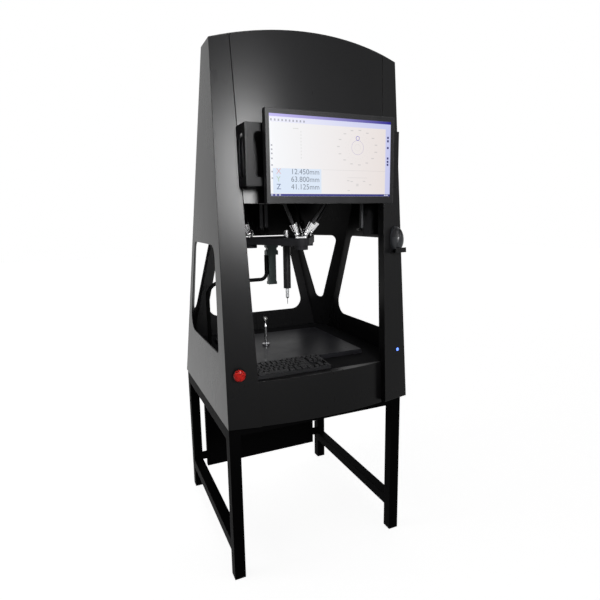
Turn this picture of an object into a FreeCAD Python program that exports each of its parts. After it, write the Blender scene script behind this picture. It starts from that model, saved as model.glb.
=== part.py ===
"""Floor-standing coordinate measuring machine with a three-column parallel mechanism.

Millimetres. +Z is up, +Y runs to the back, +X to the right of someone who stands in front.
The origin lies on the floor, under the probe's axis and midway between the front of the
screen and the back of the rear legs.
"""
import FreeCAD, Part
import math
import os

V = FreeCAD.Vector

# ---- clearances ----------------------------------------------------------------------------------
SEAT = 0.3            # gap left where two pieces rest beside each other
RUN = 0.5             # gap beside flat faces that slide past each other
BALL_GAP = 0.35       # gap between a ball and its socket
SHAFT_GAP = 0.05      # radial clearance of a shaft in its bore

# ---- stand ---------------------------------------------------------------------------------------
STAND_FRONT = -303.0
STAND_BEHIND = 3.0    # the legs stand out this far behind the rear panel
COVER_OVERHANG = 8.0  # the covers stand out this far beyond the legs on each side
STAND_HEIGHT = 588.0
LEG = 40.0            # outside of the square leg tube
TUBE_WALL = 3.0
SIDE_RAIL_DROP = 60.0
FRONT_RAIL_DROP = 40.0
LOW_RAIL_Z = 97.0
CAP_THICK = 4.0
CAP_PLUG = 15.0
PANEL_GAP = 25.0      # between the modesty panel and each rear leg
MODESTY_Z = 88.0
MODESTY_SET = 33.0    # from the legs' back to the panel's front
MODESTY_SHEET = 2.5
MODESTY_FOLD = 22.0

# ---- folded enclosure ----------------------------------------------------------------------------
SKIN = 3.0            # sheet thickness of every cover
SIDE_LEAN = 0.012     # sides lean inwards, per unit of height
CORNER_OUT = 27.0     # front corner at the bottom, in front of the legs
FRONT_LEAN = 0.0747   # front corner leans back, per unit of height
SEAM_HALF = 247.0     # inner edge of the front flange at the bottom
SEAM_FLARE = 0.027
SEAM_OUT = 22.0       # inner edge of the flange, in front of the corner
RETURN_DEPTH = 38.0   # inner return of the front flange
SIDE_BACK_SET = 17.0  # rear fold of the side panel at the bottom, in front of the rear panel
SIDE_FOLD_LEAN = 0.419
REAR_FOLD_LEAN = 0.232
CROWN_Z = 1876.0      # highest line of the arched roof
SKY_MARGIN = 24.0     # covers are drawn this far above the roof before it trims them
ARCH_RADIUS = 1361.0
ROOF_SKIN = 3.0

# ---- windows in the covers -----------------------------------------------------------------------
SILL_Z = 825.0
HEAD_Z = 1196.0
SIDE_WINDOW_FRONT = 80.0      # strut in front of the side window, at the sill
SIDE_WINDOW_LEAN = 0.032
SIDE_WINDOW_STRUT = 48.0      # strut behind the side window, measured level
SIDE_WINDOW_RADII = (18.0, 55.0, 22.0, 45.0)
FACET_WINDOW_TIP_Z = 826.0
FACET_WINDOW_TOP = 228.0      # width at the head
FACET_WINDOW_SHARE = 0.53     # place across the facet, from the side fold
FACET_WINDOW_RADII = (25.0, 22.0, 22.0)
REAR_WINDOW_STRUT = 45.0
REAR_WINDOW_RADII = (48.0, 48.0, 25.0, 25.0)

# ---- hood and apron ------------------------------------------------------------------------------
HOOD_Z = 1329.0
HOOD_GAP = 1.5        # seam between hood and flange
HOOD_BULGE = 23.0
HOOD_RETURN = 25.0
APRON_Z = 578.0
APRON_GAP = 0.5
APRON_SET = 27.0      # its ends sit this far behind the flange's edge
APRON_BULGE = 23.0

# ---- base ----------------------------------------------------------------------------------------
BASE_PLATE = 20.0
TRAY_TOP = 735.0
TRAY_SHEET = 2.0
TABLE_TOP = 752.0
TABLE_THICK = 30.0
TABLE_HALF = 248.0
TABLE_DEPTH = 435.0
TABLE_EDGE = 2.0      # chamfer
TABLE_GAP = 1.0
INSERT_X = 200.0      # half spacing of the threaded inserts
INSERT_Y = 170.0
INSERT_BORE = 3.4
INSERT_DEEP = 18.0
CASTING_HALF = 230.0
CASTING_SET = 12.0    # casting stays this far inside the table's edges
CASTING_WALL = 12.0

# ---- columns and carriages, for the column at the back; the others are turned copies -------------
CROWN_PLATE_Z = 1780.0
CROWN_PLATE = 12.0
CROWN_FRONT = -200.0
CROWN_HOLE = 150.0
COLUMN_FACE = 305.0   # from the probe's axis to the column's inner face
COLUMN_DEPTH = 60.0
COLUMN_WIDTH = 70.0
COLUMN_WALL = 5.0
COLUMN_CLEAR = 7.1    # from a side column's outer corner to the cover, at the crown plate
COLUMN_BEHIND = 34.0  # from the rear column to the rear panel
COLUMN_FOOT = 1212.0
BRACKET_WIDTH = 50.0
BRACKET_TALL = 40.0
BRACKET_LEVELS = (1225.0, 1700.0)
BRACKET_REACH = 90.0
RAIL_WIDTH = 15.0
RAIL_DEEP = 12.0
RAIL_END = 25.0       # rail starts this far above the column's foot
RAIL_LENGTH = 510.0
TRACK_WIDTH = 16.0
TRACK_THICK = 6.0
STOP_TALL = 12.0
BLOCK_WIDTH = 34.0
BLOCK_DEEP = 18.0
BLOCK_TALL = 50.0
BLOCK_PITCH = 74.0
PLATE_WIDTH = 92.0
PLATE_THICK = 12.0
PLATE_TALL = 130.0
BAR_RADIUS = 6.0
BAR_STANDOFF = 10.0   # from the carriage plate's face to the bar's axis

# ---- platform, arms and probe --------------------------------------------------------------------
PLATFORM_TOP = 1205.0
PLATFORM_THICK = 28.0
PLATFORM_REACH = 146.0        # axis to each corner's centre
PLATFORM_ROUND = 30.0
POCKET_DEEP = 20.0
POCKET_RADIUS = 30.0
POCKET_REACH = 66.0
BOSS_RADIUS = 25.0
BOSS_DROP = 15.0
BALL_RADIUS = 10.0
BALL_RISE = 16.0      # ball's centre above the platform
BALL_IN = 88.0        # axis to the line of the two balls of one carriage
BALL_HALF = 118.0     # half the spacing of the two arms of one carriage
STUD_RADIUS = 6.0
YOKE_WIDTH = 11.0     # bar that ties the two studs of a corner
YOKE_TALL = 8.0
YOKE_ROUND = 3.0
ARM_SLOPE = 1.535     # rise over run
ARM_RADIUS = 6.0
FERRULE_RADIUS = 14.0 # at the tube's end
FERRULE_NECK = 9.5    # at the ball
FERRULE_START = 6.6
FERRULE_LENGTH = 42.0
FERRULE_RIM = 3.0
FERRULE_GRIP = 14.0   # length of tube inside the ferrule
FLUTES = 9
FLUTE_RADIUS = 2.6
FLUTE_DEEP = 1.4
FLUTE_START = 9.0     # plain band at the ball's end
QUILL_RADIUS = 15.0
QUILL_LENGTH = 180.0
QUILL_FLANGE = 23.0
QUILL_FLANGE_TALL = 10.0
CAP_RADIUS = 9.5
CAP_TALL = 29.0
PROBE_RADIUS = 7.0
PROBE_LENGTH = 40.0
PIVOT_RADIUS = 4.6
STYLUS_RADIUS = 1.5
TIP_RADIUS = 2.0
TIP_Z = 934.0

# ---- change rack and reference ball --------------------------------------------------------------
RACK_IN = 68.0        # from the covers' outer corner at the bottom
RACK_Y = 177.0
RACK_TUBE_RADIUS = 8.0
RACK_RUN_Z = 1015.0
RACK_BEND = 57.0
RACK_FOOT_RADIUS = 20.0
RACK_FOOT_TALL = 6.0
RACK_WIDTH = 34.0
RACK_DEPTH = 24.0
RACK_LOW = 992.0
RACK_HIGH = 1173.0
RACK_HEAD_WIDTH = 54.0
RACK_HEAD_TALL = 52.0
RACK_SHOE_TALL = 12.0
STRIP_THICK = 2.0
REFERENCE_X = -80.0
REFERENCE_Y = 54.0
REFERENCE_Z = 866.0
REFERENCE_RADIUS = 8.0
REFERENCE_NECK = 2.5
REFERENCE_POST = 6.0
REFERENCE_FOOT = 15.0
REFERENCE_FOOT_TALL = 8.0

# ---- screen and its bracket ----------------------------------------------------------------------
SCREEN_OUT = 53.0     # screen's face, in front of the flange's inner edge at the bottom
SCREEN_HALF = 227.5
SCREEN_LOW = 1326.0
SCREEN_TALL = 277.0
SCREEN_DEEP = 40.0
BEZEL_DEEP = 8.0
BEZEL_SIDE = 12.5
BEZEL_TOP = 15.0
BEZEL_LOW = 22.0
GLASS_SET = 2.0
SHELL_SHRINK = 60.0
VESA_BOSS = 2.0
VESA_PAD = 130.0
BRACKET_HALF = 277.0
BRACKET_LOW = 1380.0
BRACKET_HIGH = 1567.0
BRACKET_SHEET = 3.0
SLOT_LOW = 1407.0
SLOT_HIGH = 1541.0
FRONT_SLOT = 42.0
FRONT_SLOT_IN = 27.0  # from the bracket's side to the front slot
FRONT_SLOT_ROUND = 12.0
SIDE_SLOT = 42.0

# ---- controls on the front flanges ---------------------------------------------------------------
STOP_IN = 45.0        # from the covers' outer corner at the bottom, as for lamp and mouse
STOP_Z = 775.0
COLLAR_RADIUS = 16.0
COLLAR_TALL = 10.0
PLUNGER_RADIUS = 8.0
PLUNGER_LIFT = 5.0    # stem starts this far above the flange
STOP_TRAVEL = 4.0
HEAD_RADIUS = 20.0
HEAD_TALL = 15.0
LAMP_IN = 40.0
LAMP_Z = 778.0
LAMP_RADIUS = 4.0
MOUSE_IN = 39.0
MOUSE_Z = 1196.0
MOUSE_HALF = 28.0
MOUSE_LONG = 48.0
MOUSE_DEEP = 34.0
BUTTON_SPLIT = 8.0
BUTTON_SHELL = 2.6
BUTTON_LOW = 9.0      # lower edge of the buttons above the mouse's base
BUTTON_GAP = 0.4
SPINE_HALF = 7.0      # fixed strip between the buttons that carries the wheel
BUTTON_TRAVEL = 0.8
WHEEL_RADIUS = 11.0
WHEEL_WIDTH = 7.0
WHEEL_SHAFT = 1.5
WHEEL_V = 26.0
WHEEL_OUT = 2.5
HOLDER_HALF = 27.0
HOLDER_SHEET = 2.0
HOLDER_LIP = 16.0
HOLDER_BACK = 70.0

# ---- keyboard ------------------------------------------------------------------------------------
KEYBOARD_IN = 46.0    # from the covers' outer corner at the bottom
KEYBOARD_GAP = 0.8    # to the return in front of it and to the table behind it
KEYBOARD_LONG = 357.0
KEYBOARD_DEEP = 119.0
KEYBOARD_LOW_EDGE = 12.0
KEYBOARD_HIGH_EDGE = 22.0
KEY_PITCH = 19.0
KEY_GAP = 0.6
KEY_TOP_SET = 2.6
KEY_TALL = 8.0
KEY_TRAVEL = 3.0
KEY_ROWS = (
    (1, -0.5, 1, 1, 1, 1, -0.5, 1, 1, 1, 1, -0.5, 1, 1, 1, 1, -0.25, 1, 1, 1),
    (1, 1, 1, 1, 1, 1, 1, 1, 1, 1, 1, 1, 1, 2, -0.25, 1, 1, 1),
    (1.5, 1, 1, 1, 1, 1, 1, 1, 1, 1, 1, 1, 1, 1.5, -0.25, 1, 1, 1),
    (1.75, 1, 1, 1, 1, 1, 1, 1, 1, 1, 1, 1, 2.25),
    (2.25, 1, 1, 1, 1, 1, 1, 1, 1, 1, 1, 2.75, -1.25, 1),
    (1.25, 1.25, 1.25, 6.25, 1.25, 1.25, 1.25, 1.25, -0.25, 1, 1, 1),
)
KEY_FIELD_UNITS = 18.25

# ---- envelope: the covers close round the three columns, and the stand fits the covers -----------
BODY_Z = STAND_HEIGHT
COLUMN_TURN = math.radians(30)
COLUMN_CORNER = (COLUMN_FACE + COLUMN_DEPTH) * math.cos(COLUMN_TURN) + COLUMN_WIDTH / 2 * math.sin(COLUMN_TURN)
SIDE_HALF = COLUMN_CORNER + COLUMN_CLEAR + SKIN + SIDE_LEAN * (CROWN_PLATE_Z - BODY_Z)
REAR_Y = COLUMN_FACE + COLUMN_DEPTH + COLUMN_BEHIND + SKIN
SIDE_BACK_Y = REAR_Y - SIDE_BACK_SET
CORNER_Y = STAND_FRONT - CORNER_OUT
SEAM_Y = CORNER_Y - SEAM_OUT
STAND_HALF = SIDE_HALF - COVER_OVERHANG
STAND_BACK = REAR_Y + STAND_BEHIND
MODESTY_Y = STAND_BACK - MODESTY_SET
SCREEN_FRONT = SEAM_Y - SCREEN_OUT
STOP_X = STOP_IN - SIDE_HALF
LAMP_X = SIDE_HALF - LAMP_IN
MOUSE_X = SIDE_HALF - MOUSE_IN
KEYBOARD_LEFT = KEYBOARD_IN - SIDE_HALF
RACK_X = RACK_IN - SIDE_HALF

# ---- derived places ------------------------------------------------------------------------------
SKY = CROWN_Z + SKY_MARGIN
BASE_TOP = BODY_Z + BASE_PLATE
TABLE_UNDER = TABLE_TOP - TABLE_THICK
RAIL_FACE = COLUMN_FACE - RAIL_DEEP
BLOCK_FACE = RAIL_FACE + RUN + RAIL_DEEP / 2 - BLOCK_DEEP
PLATE_FACE = BLOCK_FACE - PLATE_THICK
BAR_Y = PLATE_FACE - BAR_STANDOFF
TRACK_X = BLOCK_WIDTH / 2 + RUN
BALL_Z = PLATFORM_TOP + BALL_RISE
ARM_RUN = BAR_Y - BALL_IN
ARM_RISE = ARM_RUN * ARM_SLOPE
CARRIAGE_Z = BALL_Z + ARM_RISE
PLATFORM_UNDER = PLATFORM_TOP - PLATFORM_THICK
QUILL_END = PLATFORM_UNDER - QUILL_LENGTH
PROBE_END = QUILL_END - PROBE_LENGTH
COLUMN_TURNS = (("rear", 0.0), ("right", -120.0), ("left", 120.0))


# ---- small helpers -------------------------------------------------------------------------------
def box(x0, x1, y0, y1, z0, z1):
    """A block between two values on each axis."""
    return Part.makeBox(x1 - x0, y1 - y0, z1 - z0, V(x0, y0, z0))


def rod(radius, start, direction, length):
    """A round bar from a start point."""
    return Part.makeCylinder(radius, length, start, direction)


def ball(centre, radius, pole=V(0, 0, 1)):
    """A ball whose poles lie on a given axis."""
    return Part.makeSphere(radius, centre, pole)


def tube_block(x0, x1, y0, y1, z0, z1, wall, along):
    """A square tube with an open bore along one axis."""
    inner = [x0 + wall, x1 - wall, y0 + wall, y1 - wall, z0 + wall, z1 - wall]
    first = 2 * "XYZ".index(along)
    outer = [x0, x1, y0, y1, z0, z1]
    inner[first] = outer[first] - wall
    inner[first + 1] = outer[first + 1] + wall
    return box(*outer).cut(box(*inner))


def mirrored(shape):
    """The same piece on the other side of the machine."""
    return shape.mirror(V(0, 0, 0), V(1, 0, 0))


def turned(shape, degrees):
    """A copy turned about the probe's axis."""
    copy = shape.copy()
    copy.rotate(V(0, 0, 0), V(0, 0, 1), degrees)
    return copy


def placed(shape, place):
    """A copy of a locally built piece at its place."""
    copy = shape.copy()
    copy.Placement = place.multiply(copy.Placement)
    return copy


def round_column(cuts, centre, axis=V(0, 0, 1)):
    """A turned piece: cuts are (radius, height) points up one side, closed on the axis."""
    points = [V(radius, 0, height) for radius, height in cuts]
    points = [V(0, 0, cuts[0][1])] + points + [V(0, 0, cuts[-1][1]), V(0, 0, cuts[0][1])]
    face = Part.Face(Part.makePolygon(points))
    solid = face.revolve(V(0, 0, 0), V(0, 0, 1), 360)
    solid.Placement = FreeCAD.Placement(centre, FreeCAD.Rotation(V(0, 0, 1), axis))
    return solid


def rounded_outline(points, radii):
    """A flat closed outline whose corners are arcs; radii follow the points."""
    edges = []
    ends = []
    count = len(points)
    for i in range(count):
        corner = points[i]
        back = (points[i - 1] - corner).normalize()
        ahead = (points[(i + 1) % count] - corner).normalize()
        half = back.getAngle(ahead) / 2
        reach = radii[i] / math.tan(half)
        middle = corner + (back + ahead).normalize() * (radii[i] / math.sin(half) - radii[i])
        ends.append((corner + back * reach, middle, corner + ahead * reach))
    for i in range(count):
        enter, middle, leave = ends[i]
        edges.append(Part.Arc(enter, middle, leave).toShape())
        edges.append(Part.LineSegment(leave, ends[(i + 1) % count][0]).toShape())
    return Part.Face(Part.Wire(edges))


def swept_both_ways(face, direction, reach):
    """The face carried the same distance to both sides of its plane."""
    moved = face.copy()
    moved.translate(direction * -reach)
    return moved.extrude(direction * (2 * reach))


def save(node, *solids):
    """One file for one named piece; identical pieces share it as separate solids."""
    shape = solids[0] if len(solids) == 1 else Part.makeCompound(list(solids))
    shape.exportStep("parts/%s.step" % node)


# ---- planes of the folded covers -----------------------------------------------------------------
def plane(point, first, second, outward):
    """A plane as (unit normal, distance); the normal points to the outward side."""
    normal = first.cross(second).normalize()
    if normal.dot(outward) < 0:
        normal = normal * -1
    return normal, normal.dot(point)


def inset(flat, depth):
    """The same plane moved inwards."""
    return flat[0], flat[1] - depth


def across(flat):
    """The plane's mirror image on the other side of the machine."""
    return V(-flat[0].x, flat[0].y, flat[0].z), flat[1]


def meet(a, b, c):
    """The point where three planes meet."""
    total = b[0].cross(c[0]) * a[1] + c[0].cross(a[0]) * b[1] + a[0].cross(b[0]) * c[1]
    return total * (1 / a[0].dot(b[0].cross(c[0])))


def level(z):
    """A level plane."""
    return V(0, 0, 1), z


SIDE_RISE = V(-SIDE_LEAN, 0, 1)
CORNER_RISE = V(-SIDE_LEAN, FRONT_LEAN, 1)
SIDE = plane(V(SIDE_HALF, 0, BODY_Z), V(0, 1, 0), SIDE_RISE, V(1, 0, 0))
FLANGE_ACROSS = V(SIDE_HALF - SEAM_HALF, CORNER_Y - SEAM_Y, 0)
FLANGE = plane(V(SIDE_HALF, CORNER_Y, BODY_Z), CORNER_RISE, FLANGE_ACROSS, V(0, -1, 0))
SEAM = plane(V(SEAM_HALF, 0, BODY_Z), V(0, 1, 0), V(SEAM_FLARE, 0, 1), V(-1, 0, 0))
FACET = plane(V(SIDE_HALF, SIDE_BACK_Y, BODY_Z), V(-SIDE_LEAN, -SIDE_FOLD_LEAN, 1),
              V(-REAR_FOLD_LEAN, 0, 1), V(1, 1, 0))
REAR = plane(V(0, REAR_Y, 0), V(1, 0, 0), V(0, 0, 1), V(0, 1, 0))
BOTTOM = level(BODY_Z)
TOP = level(SKY)

# ---- from the front to the back: return, keyboard, table -----------------------------------------
RETURN_BACK = meet(inset(FLANGE, RETURN_DEPTH), inset(SEAM, SKIN), level(TRAY_TOP + KEYBOARD_HIGH_EDGE)).y
KEYBOARD_FRONT = RETURN_BACK + KEYBOARD_GAP
TABLE_FRONT = KEYBOARD_FRONT + KEYBOARD_DEEP + KEYBOARD_GAP
TABLE_BACK = TABLE_FRONT + TABLE_DEPTH


def slab(face, wall, edges):
    """A flat sheet: outer corners lie on the face, inner corners on the face moved in by the wall.

    Each edge is a pair of planes, the first for the outer skin and the second for the inner
    skin, so that two folded sheets meet in a mitre.
    """
    inner = inset(face, wall)
    count = len(edges)
    outer_points = [meet(face, edges[i][0], edges[(i + 1) % count][0]) for i in range(count)]
    inner_points = [meet(inner, edges[i][1], edges[(i + 1) % count][1]) for i in range(count)]
    return hull_between(outer_points, inner_points)


def hull_between(first, second):
    """The closed solid between two outlines with as many corners."""
    count = len(first)
    faces = [Part.Face(Part.makePolygon(first + first[:1])),
             Part.Face(Part.makePolygon(second + second[:1]))]
    for i in range(count):
        j = (i + 1) % count
        faces.append(Part.Face(Part.makePolygon([first[i], first[j], second[j], second[i], first[i]])))
    solid = Part.Solid(Part.Shell(faces))
    if solid.Volume < 0:
        solid.reverse()
    return solid


def folded(face):
    """Edge pair of a face that folds into another: both skins, the wall apart."""
    return face, inset(face, SKIN)


def plain(face):
    """Edge pair of a face that is cut off square."""
    return face, face


def cover_section(z, depth):
    """The covers' outline at one height, moved inwards by a depth."""
    at = level(z)
    seam_point = meet(inset(FLANGE, depth), SEAM, at)
    right = [seam_point, meet(inset(FLANGE, depth), inset(SIDE, depth), at),
             meet(inset(SIDE, depth), inset(FACET, depth), at),
             meet(inset(FACET, depth), inset(REAR, depth), at)]
    left = [V(-point.x, point.y, point.z) for point in reversed(right)]
    return right + left


def cover_volume(z0, z1, depth):
    """The space inside the covers between two heights, moved inwards by a depth."""
    return hull_between(cover_section(z0, depth), cover_section(z1, depth))


def seam_half(z):
    """Half the width of the front opening."""
    return SEAM_HALF + SEAM_FLARE * (z - BODY_Z)


def seam_y(z):
    """The front edge of the opening."""
    return meet(FLANGE, SEAM, level(z)).y


def under_arch(drop):
    """Everything under the arched roof line, lowered by a drop."""
    radius = ARCH_RADIUS - drop
    return Part.makeCylinder(radius, 4 * SIDE_HALF, V(0, -2 * SIDE_HALF, CROWN_Z - ARCH_RADIUS), V(0, 1, 0))


def bowed_block(z0, z1, side_gap, set_back, bulge, depth=None, back_y=None):
    """A block with a bowed front that leans and widens as the front opening does.

    It ends a depth behind its own ends, or at a fixed back plane.
    """
    wires = []
    for z in (z0, z1):
        half = seam_half(z) - side_gap
        end = seam_y(z) + set_back
        back = end + depth if back_y is None else back_y
        bow = Part.Arc(V(-half, end, z), V(0, end - bulge, z), V(half, end, z)).toShape()
        rest = [Part.LineSegment(V(half, end, z), V(half, back, z)).toShape(),
                Part.LineSegment(V(half, back, z), V(-half, back, z)).toShape(),
                Part.LineSegment(V(-half, back, z), V(-half, end, z)).toShape()]
        wires.append(Part.Wire([bow] + rest))
    return Part.makeLoft(wires, True, True)


# ---- windows -------------------------------------------------------------------------------------
def side_window():
    """The cutter of the right side window, its rear edge parallel to the rear fold."""
    def front_at(z):
        corner = CORNER_Y + FRONT_LEAN * (SILL_Z - BODY_Z)
        return corner + SIDE_WINDOW_FRONT + SIDE_WINDOW_LEAN * (z - SILL_Z)

    def back_at(z):
        return SIDE_BACK_Y - SIDE_FOLD_LEAN * (z - BODY_Z) - SIDE_WINDOW_STRUT

    corners = [V(SIDE_HALF, front_at(SILL_Z), SILL_Z), V(SIDE_HALF, back_at(SILL_Z), SILL_Z),
               V(SIDE_HALF, back_at(HEAD_Z), HEAD_Z), V(SIDE_HALF, front_at(HEAD_Z), HEAD_Z)]
    return swept_both_ways(rounded_outline(corners, SIDE_WINDOW_RADII), V(1, 0, 0), 10 * SKIN)


def facet_window():
    """The cutter of the right facet window, a triangle that points down."""
    def across_facet(z, share, shift):
        at = level(z)
        start = meet(FACET, SIDE, at)
        end = meet(FACET, REAR, at)
        return start + (end - start) * share + (end - start).normalize() * shift

    corners = [across_facet(FACET_WINDOW_TIP_Z, FACET_WINDOW_SHARE, 0.0),
               across_facet(HEAD_Z, FACET_WINDOW_SHARE, -FACET_WINDOW_TOP / 2),
               across_facet(HEAD_Z, FACET_WINDOW_SHARE, FACET_WINDOW_TOP / 2)]
    return swept_both_ways(rounded_outline(corners, FACET_WINDOW_RADII), FACET[0], 10 * SKIN)


def rear_window():
    """The cutter of the rear window, its sides parallel to the rear folds."""
    low = meet(FACET, REAR, level(SILL_Z)).x - REAR_WINDOW_STRUT
    high = meet(FACET, REAR, level(HEAD_Z)).x - REAR_WINDOW_STRUT
    corners = [V(-low, REAR_Y, SILL_Z), V(low, REAR_Y, SILL_Z), V(high, REAR_Y, HEAD_Z), V(-high, REAR_Y, HEAD_Z)]
    return swept_both_ways(rounded_outline(corners, REAR_WINDOW_RADII), V(0, 1, 0), 10 * SKIN)


# ---- enclosure -----------------------------------------------------------------------------------
def side_panel():
    """Right side panel: side, front flange and inner return folded from one sheet."""
    side = slab(SIDE, SKIN, [plain(BOTTOM), folded(FLANGE), plain(TOP), folded(FACET)])
    flange = slab(FLANGE, SKIN, [plain(BOTTOM), folded(SIDE), plain(TOP), folded(SEAM)])
    back = inset(FLANGE, RETURN_DEPTH)
    inner = slab(SEAM, SKIN, [plain(BOTTOM), folded(FLANGE), plain(TOP), plain(back)])
    panel = side.fuse([flange, inner]).removeSplitter()
    return panel.cut(side_window()).common(under_arch(ROOF_SKIN)).Solids[0]


def rear_facet():
    """Right rear facet: the triangle between side and rear panel."""
    sheet = slab(FACET, SKIN, [plain(BOTTOM), folded(SIDE), plain(TOP), folded(REAR)])
    return sheet.cut(facet_window()).common(under_arch(ROOF_SKIN)).Solids[0]


def rear_panel():
    """Rear panel, tapering upwards between the facets."""
    left = across(FACET)
    sheet = slab(REAR, SKIN, [plain(BOTTOM), folded(FACET), plain(TOP), (left, inset(left, SKIN))])
    return sheet.cut(rear_window()).common(under_arch(ROOF_SKIN)).Solids[0]


def hood():
    """Bowed hood over the front opening, with side returns and a lip along its lower edge."""
    outer = bowed_block(HOOD_Z, SKY, HOOD_GAP, 0.0, HOOD_BULGE, depth=HOOD_RETURN)
    inner = bowed_block(HOOD_Z + SKIN, SKY + SKIN, HOOD_GAP + SKIN, SKIN, HOOD_BULGE, depth=2 * HOOD_RETURN)
    return outer.cut(inner).common(under_arch(ROOF_SKIN)).Solids[0]


def roof():
    """Arched roof sheet that lies on the upper edges of all covers."""
    low = CROWN_Z - 4 * HOOD_RETURN
    plan = cover_volume(low, SKY, 0.0).fuse(bowed_block(low, SKY, HOOD_GAP, 0.0, HOOD_BULGE, depth=HOOD_RETURN))
    return plan.common(under_arch(0.0).cut(under_arch(ROOF_SKIN))).removeSplitter().Solids[0]


def apron():
    """Bowed front cover below the opening, with side returns and a top lip that meets the tray."""
    outer = bowed_block(APRON_Z, TRAY_TOP, APRON_GAP, APRON_SET, APRON_BULGE, back_y=STAND_FRONT)
    inner = bowed_block(APRON_Z - SKIN, TRAY_TOP - SKIN, APRON_GAP + SKIN, APRON_SET + SKIN, APRON_BULGE,
                        back_y=STAND_FRONT + SKIN)
    return outer.cut(inner).Solids[0]


# ---- stand ---------------------------------------------------------------------------------------
def legs():
    """Four square tube legs."""
    solids = []
    for x in (-STAND_HALF, STAND_HALF - LEG):
        for y in (STAND_FRONT, STAND_BACK - LEG):
            solids.append(tube_block(x, x + LEG, y, y + LEG, CAP_THICK, STAND_HEIGHT, TUBE_WALL, "Z"))
    return solids


def foot_caps():
    """Plastic caps that plug the legs and stand on the floor."""
    plug_half = LEG / 2 - TUBE_WALL - SEAT
    solids = []
    for x in (-STAND_HALF + LEG / 2, STAND_HALF - LEG / 2):
        for y in (STAND_FRONT + LEG / 2, STAND_BACK - LEG / 2):
            cap = box(x - LEG / 2, x + LEG / 2, y - LEG / 2, y + LEG / 2, 0, CAP_THICK)
            plug = box(x - plug_half, x + plug_half, y - plug_half, y + plug_half, 0, CAP_THICK + CAP_PLUG)
            solids.append(cap.fuse(plug).removeSplitter())
    return solids


def top_rails():
    """Rails that join the legs at the top."""
    side = [tube_block(x, x + LEG, STAND_FRONT + LEG, STAND_BACK - LEG, STAND_HEIGHT - SIDE_RAIL_DROP,
                       STAND_HEIGHT, TUBE_WALL, "Y") for x in (-STAND_HALF, STAND_HALF - LEG)]
    inside = STAND_HALF - LEG
    front = tube_block(-inside, inside, STAND_FRONT, STAND_FRONT + LEG, STAND_HEIGHT - FRONT_RAIL_DROP,
                       STAND_HEIGHT, TUBE_WALL, "X")
    back = tube_block(-inside, inside, STAND_BACK - LEG, STAND_BACK, STAND_HEIGHT - SIDE_RAIL_DROP,
                      STAND_HEIGHT, TUBE_WALL, "X")
    return side + [front, back]


def low_rails():
    """Low rails between the front and rear leg of each side."""
    return [tube_block(x, x + LEG, STAND_FRONT + LEG, STAND_BACK - LEG, LOW_RAIL_Z, LOW_RAIL_Z + LEG,
                       TUBE_WALL, "Y") for x in (-STAND_HALF, STAND_HALF - LEG)]


def modesty_panel():
    """Panel between the rear legs: a flange under the rear rail and four ears that reach the legs."""
    inside = STAND_HALF - LEG
    half = inside - PANEL_GAP
    high = STAND_HEIGHT - SIDE_RAIL_DROP
    front = MODESTY_Y
    back = MODESTY_Y + MODESTY_SHEET
    panel = box(-half, half, front, back, MODESTY_Z, high)
    flange = box(-half, half, front, front + MODESTY_FOLD, high - MODESTY_SHEET, high)
    folds = [box(-half, -half + MODESTY_SHEET, front, front + MODESTY_FOLD, MODESTY_Z, high),
             box(half - MODESTY_SHEET, half, front, front + MODESTY_FOLD, MODESTY_Z, high)]
    ears = []
    for z in (MODESTY_Z + LEG, high - 2 * LEG):
        ears.append(box(-inside, -half, front, back, z, z + LEG))
        ears.append(box(half, inside, front, back, z, z + LEG))
    return panel.fuse([flange] + folds + ears).removeSplitter()


# ---- base ----------------------------------------------------------------------------------------
def base_plate():
    """Plate on the stand that fills the covers' outline behind the apron."""
    room = cover_volume(BODY_Z, BASE_TOP, SKIN + SEAT)
    return room.common(box(-SIDE_HALF, SIDE_HALF, STAND_FRONT + SKIN, STAND_BACK, BODY_Z, BASE_TOP))


def casting_bounds(shrink=0.0):
    """Plan of the casting, kept inside the table."""
    return (-CASTING_HALF + shrink, CASTING_HALF - shrink,
            TABLE_FRONT + CASTING_SET + shrink, TABLE_BACK - CASTING_SET - shrink)


def base_casting():
    """Ribbed casting, open below, that carries the table."""
    x0, x1, y0, y1 = casting_bounds(CASTING_WALL)
    body = box(*casting_bounds(), BASE_TOP, TABLE_UNDER)
    hollow = box(x0, x1, y0, y1, BASE_TOP, TABLE_UNDER - CASTING_WALL)
    ribs = [box(x - CASTING_WALL / 2, x + CASTING_WALL / 2, y0, y1, BASE_TOP, TABLE_UNDER) for x in (x0 / 3, x1 / 3)]
    middle = (y0 + y1) / 2
    ribs.append(box(x0, x1, middle - CASTING_WALL / 2, middle + CASTING_WALL / 2, BASE_TOP, TABLE_UNDER))
    return body.cut(hollow).fuse(ribs).removeSplitter()


def measuring_table():
    """Flat table with four threaded inserts for fixtures."""
    table = box(-TABLE_HALF, TABLE_HALF, TABLE_FRONT, TABLE_BACK, TABLE_UNDER, TABLE_TOP)
    rim = [edge for edge in table.Edges if edge.BoundBox.ZMin > TABLE_TOP - SEAT]
    table = table.makeChamfer(TABLE_EDGE, rim)
    middle = (TABLE_FRONT + TABLE_BACK) / 2
    for x in (-INSERT_X, INSERT_X):
        for y in (middle - INSERT_Y, middle + INSERT_Y):
            table = table.cut(rod(INSERT_BORE, V(x, y, TABLE_TOP), V(0, 0, -1), INSERT_DEEP))
    return table


def tray_room(high, depth):
    """Space for the tray behind the apron; on each side it steps back behind the return."""
    middle = seam_half(BASE_TOP) - APRON_GAP - depth
    behind = meet(inset(FLANGE, RETURN_DEPTH), inset(SEAM, SKIN), level(TRAY_TOP)).y + SEAT + depth
    plan = box(-middle, middle, STAND_FRONT + depth, STAND_BACK, BASE_TOP, high)
    plan = plan.fuse(box(-SIDE_HALF, SIDE_HALF, behind, STAND_BACK, BASE_TOP, high))
    return cover_volume(BASE_TOP, high, SKIN + SEAT + depth).common(plan)


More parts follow.
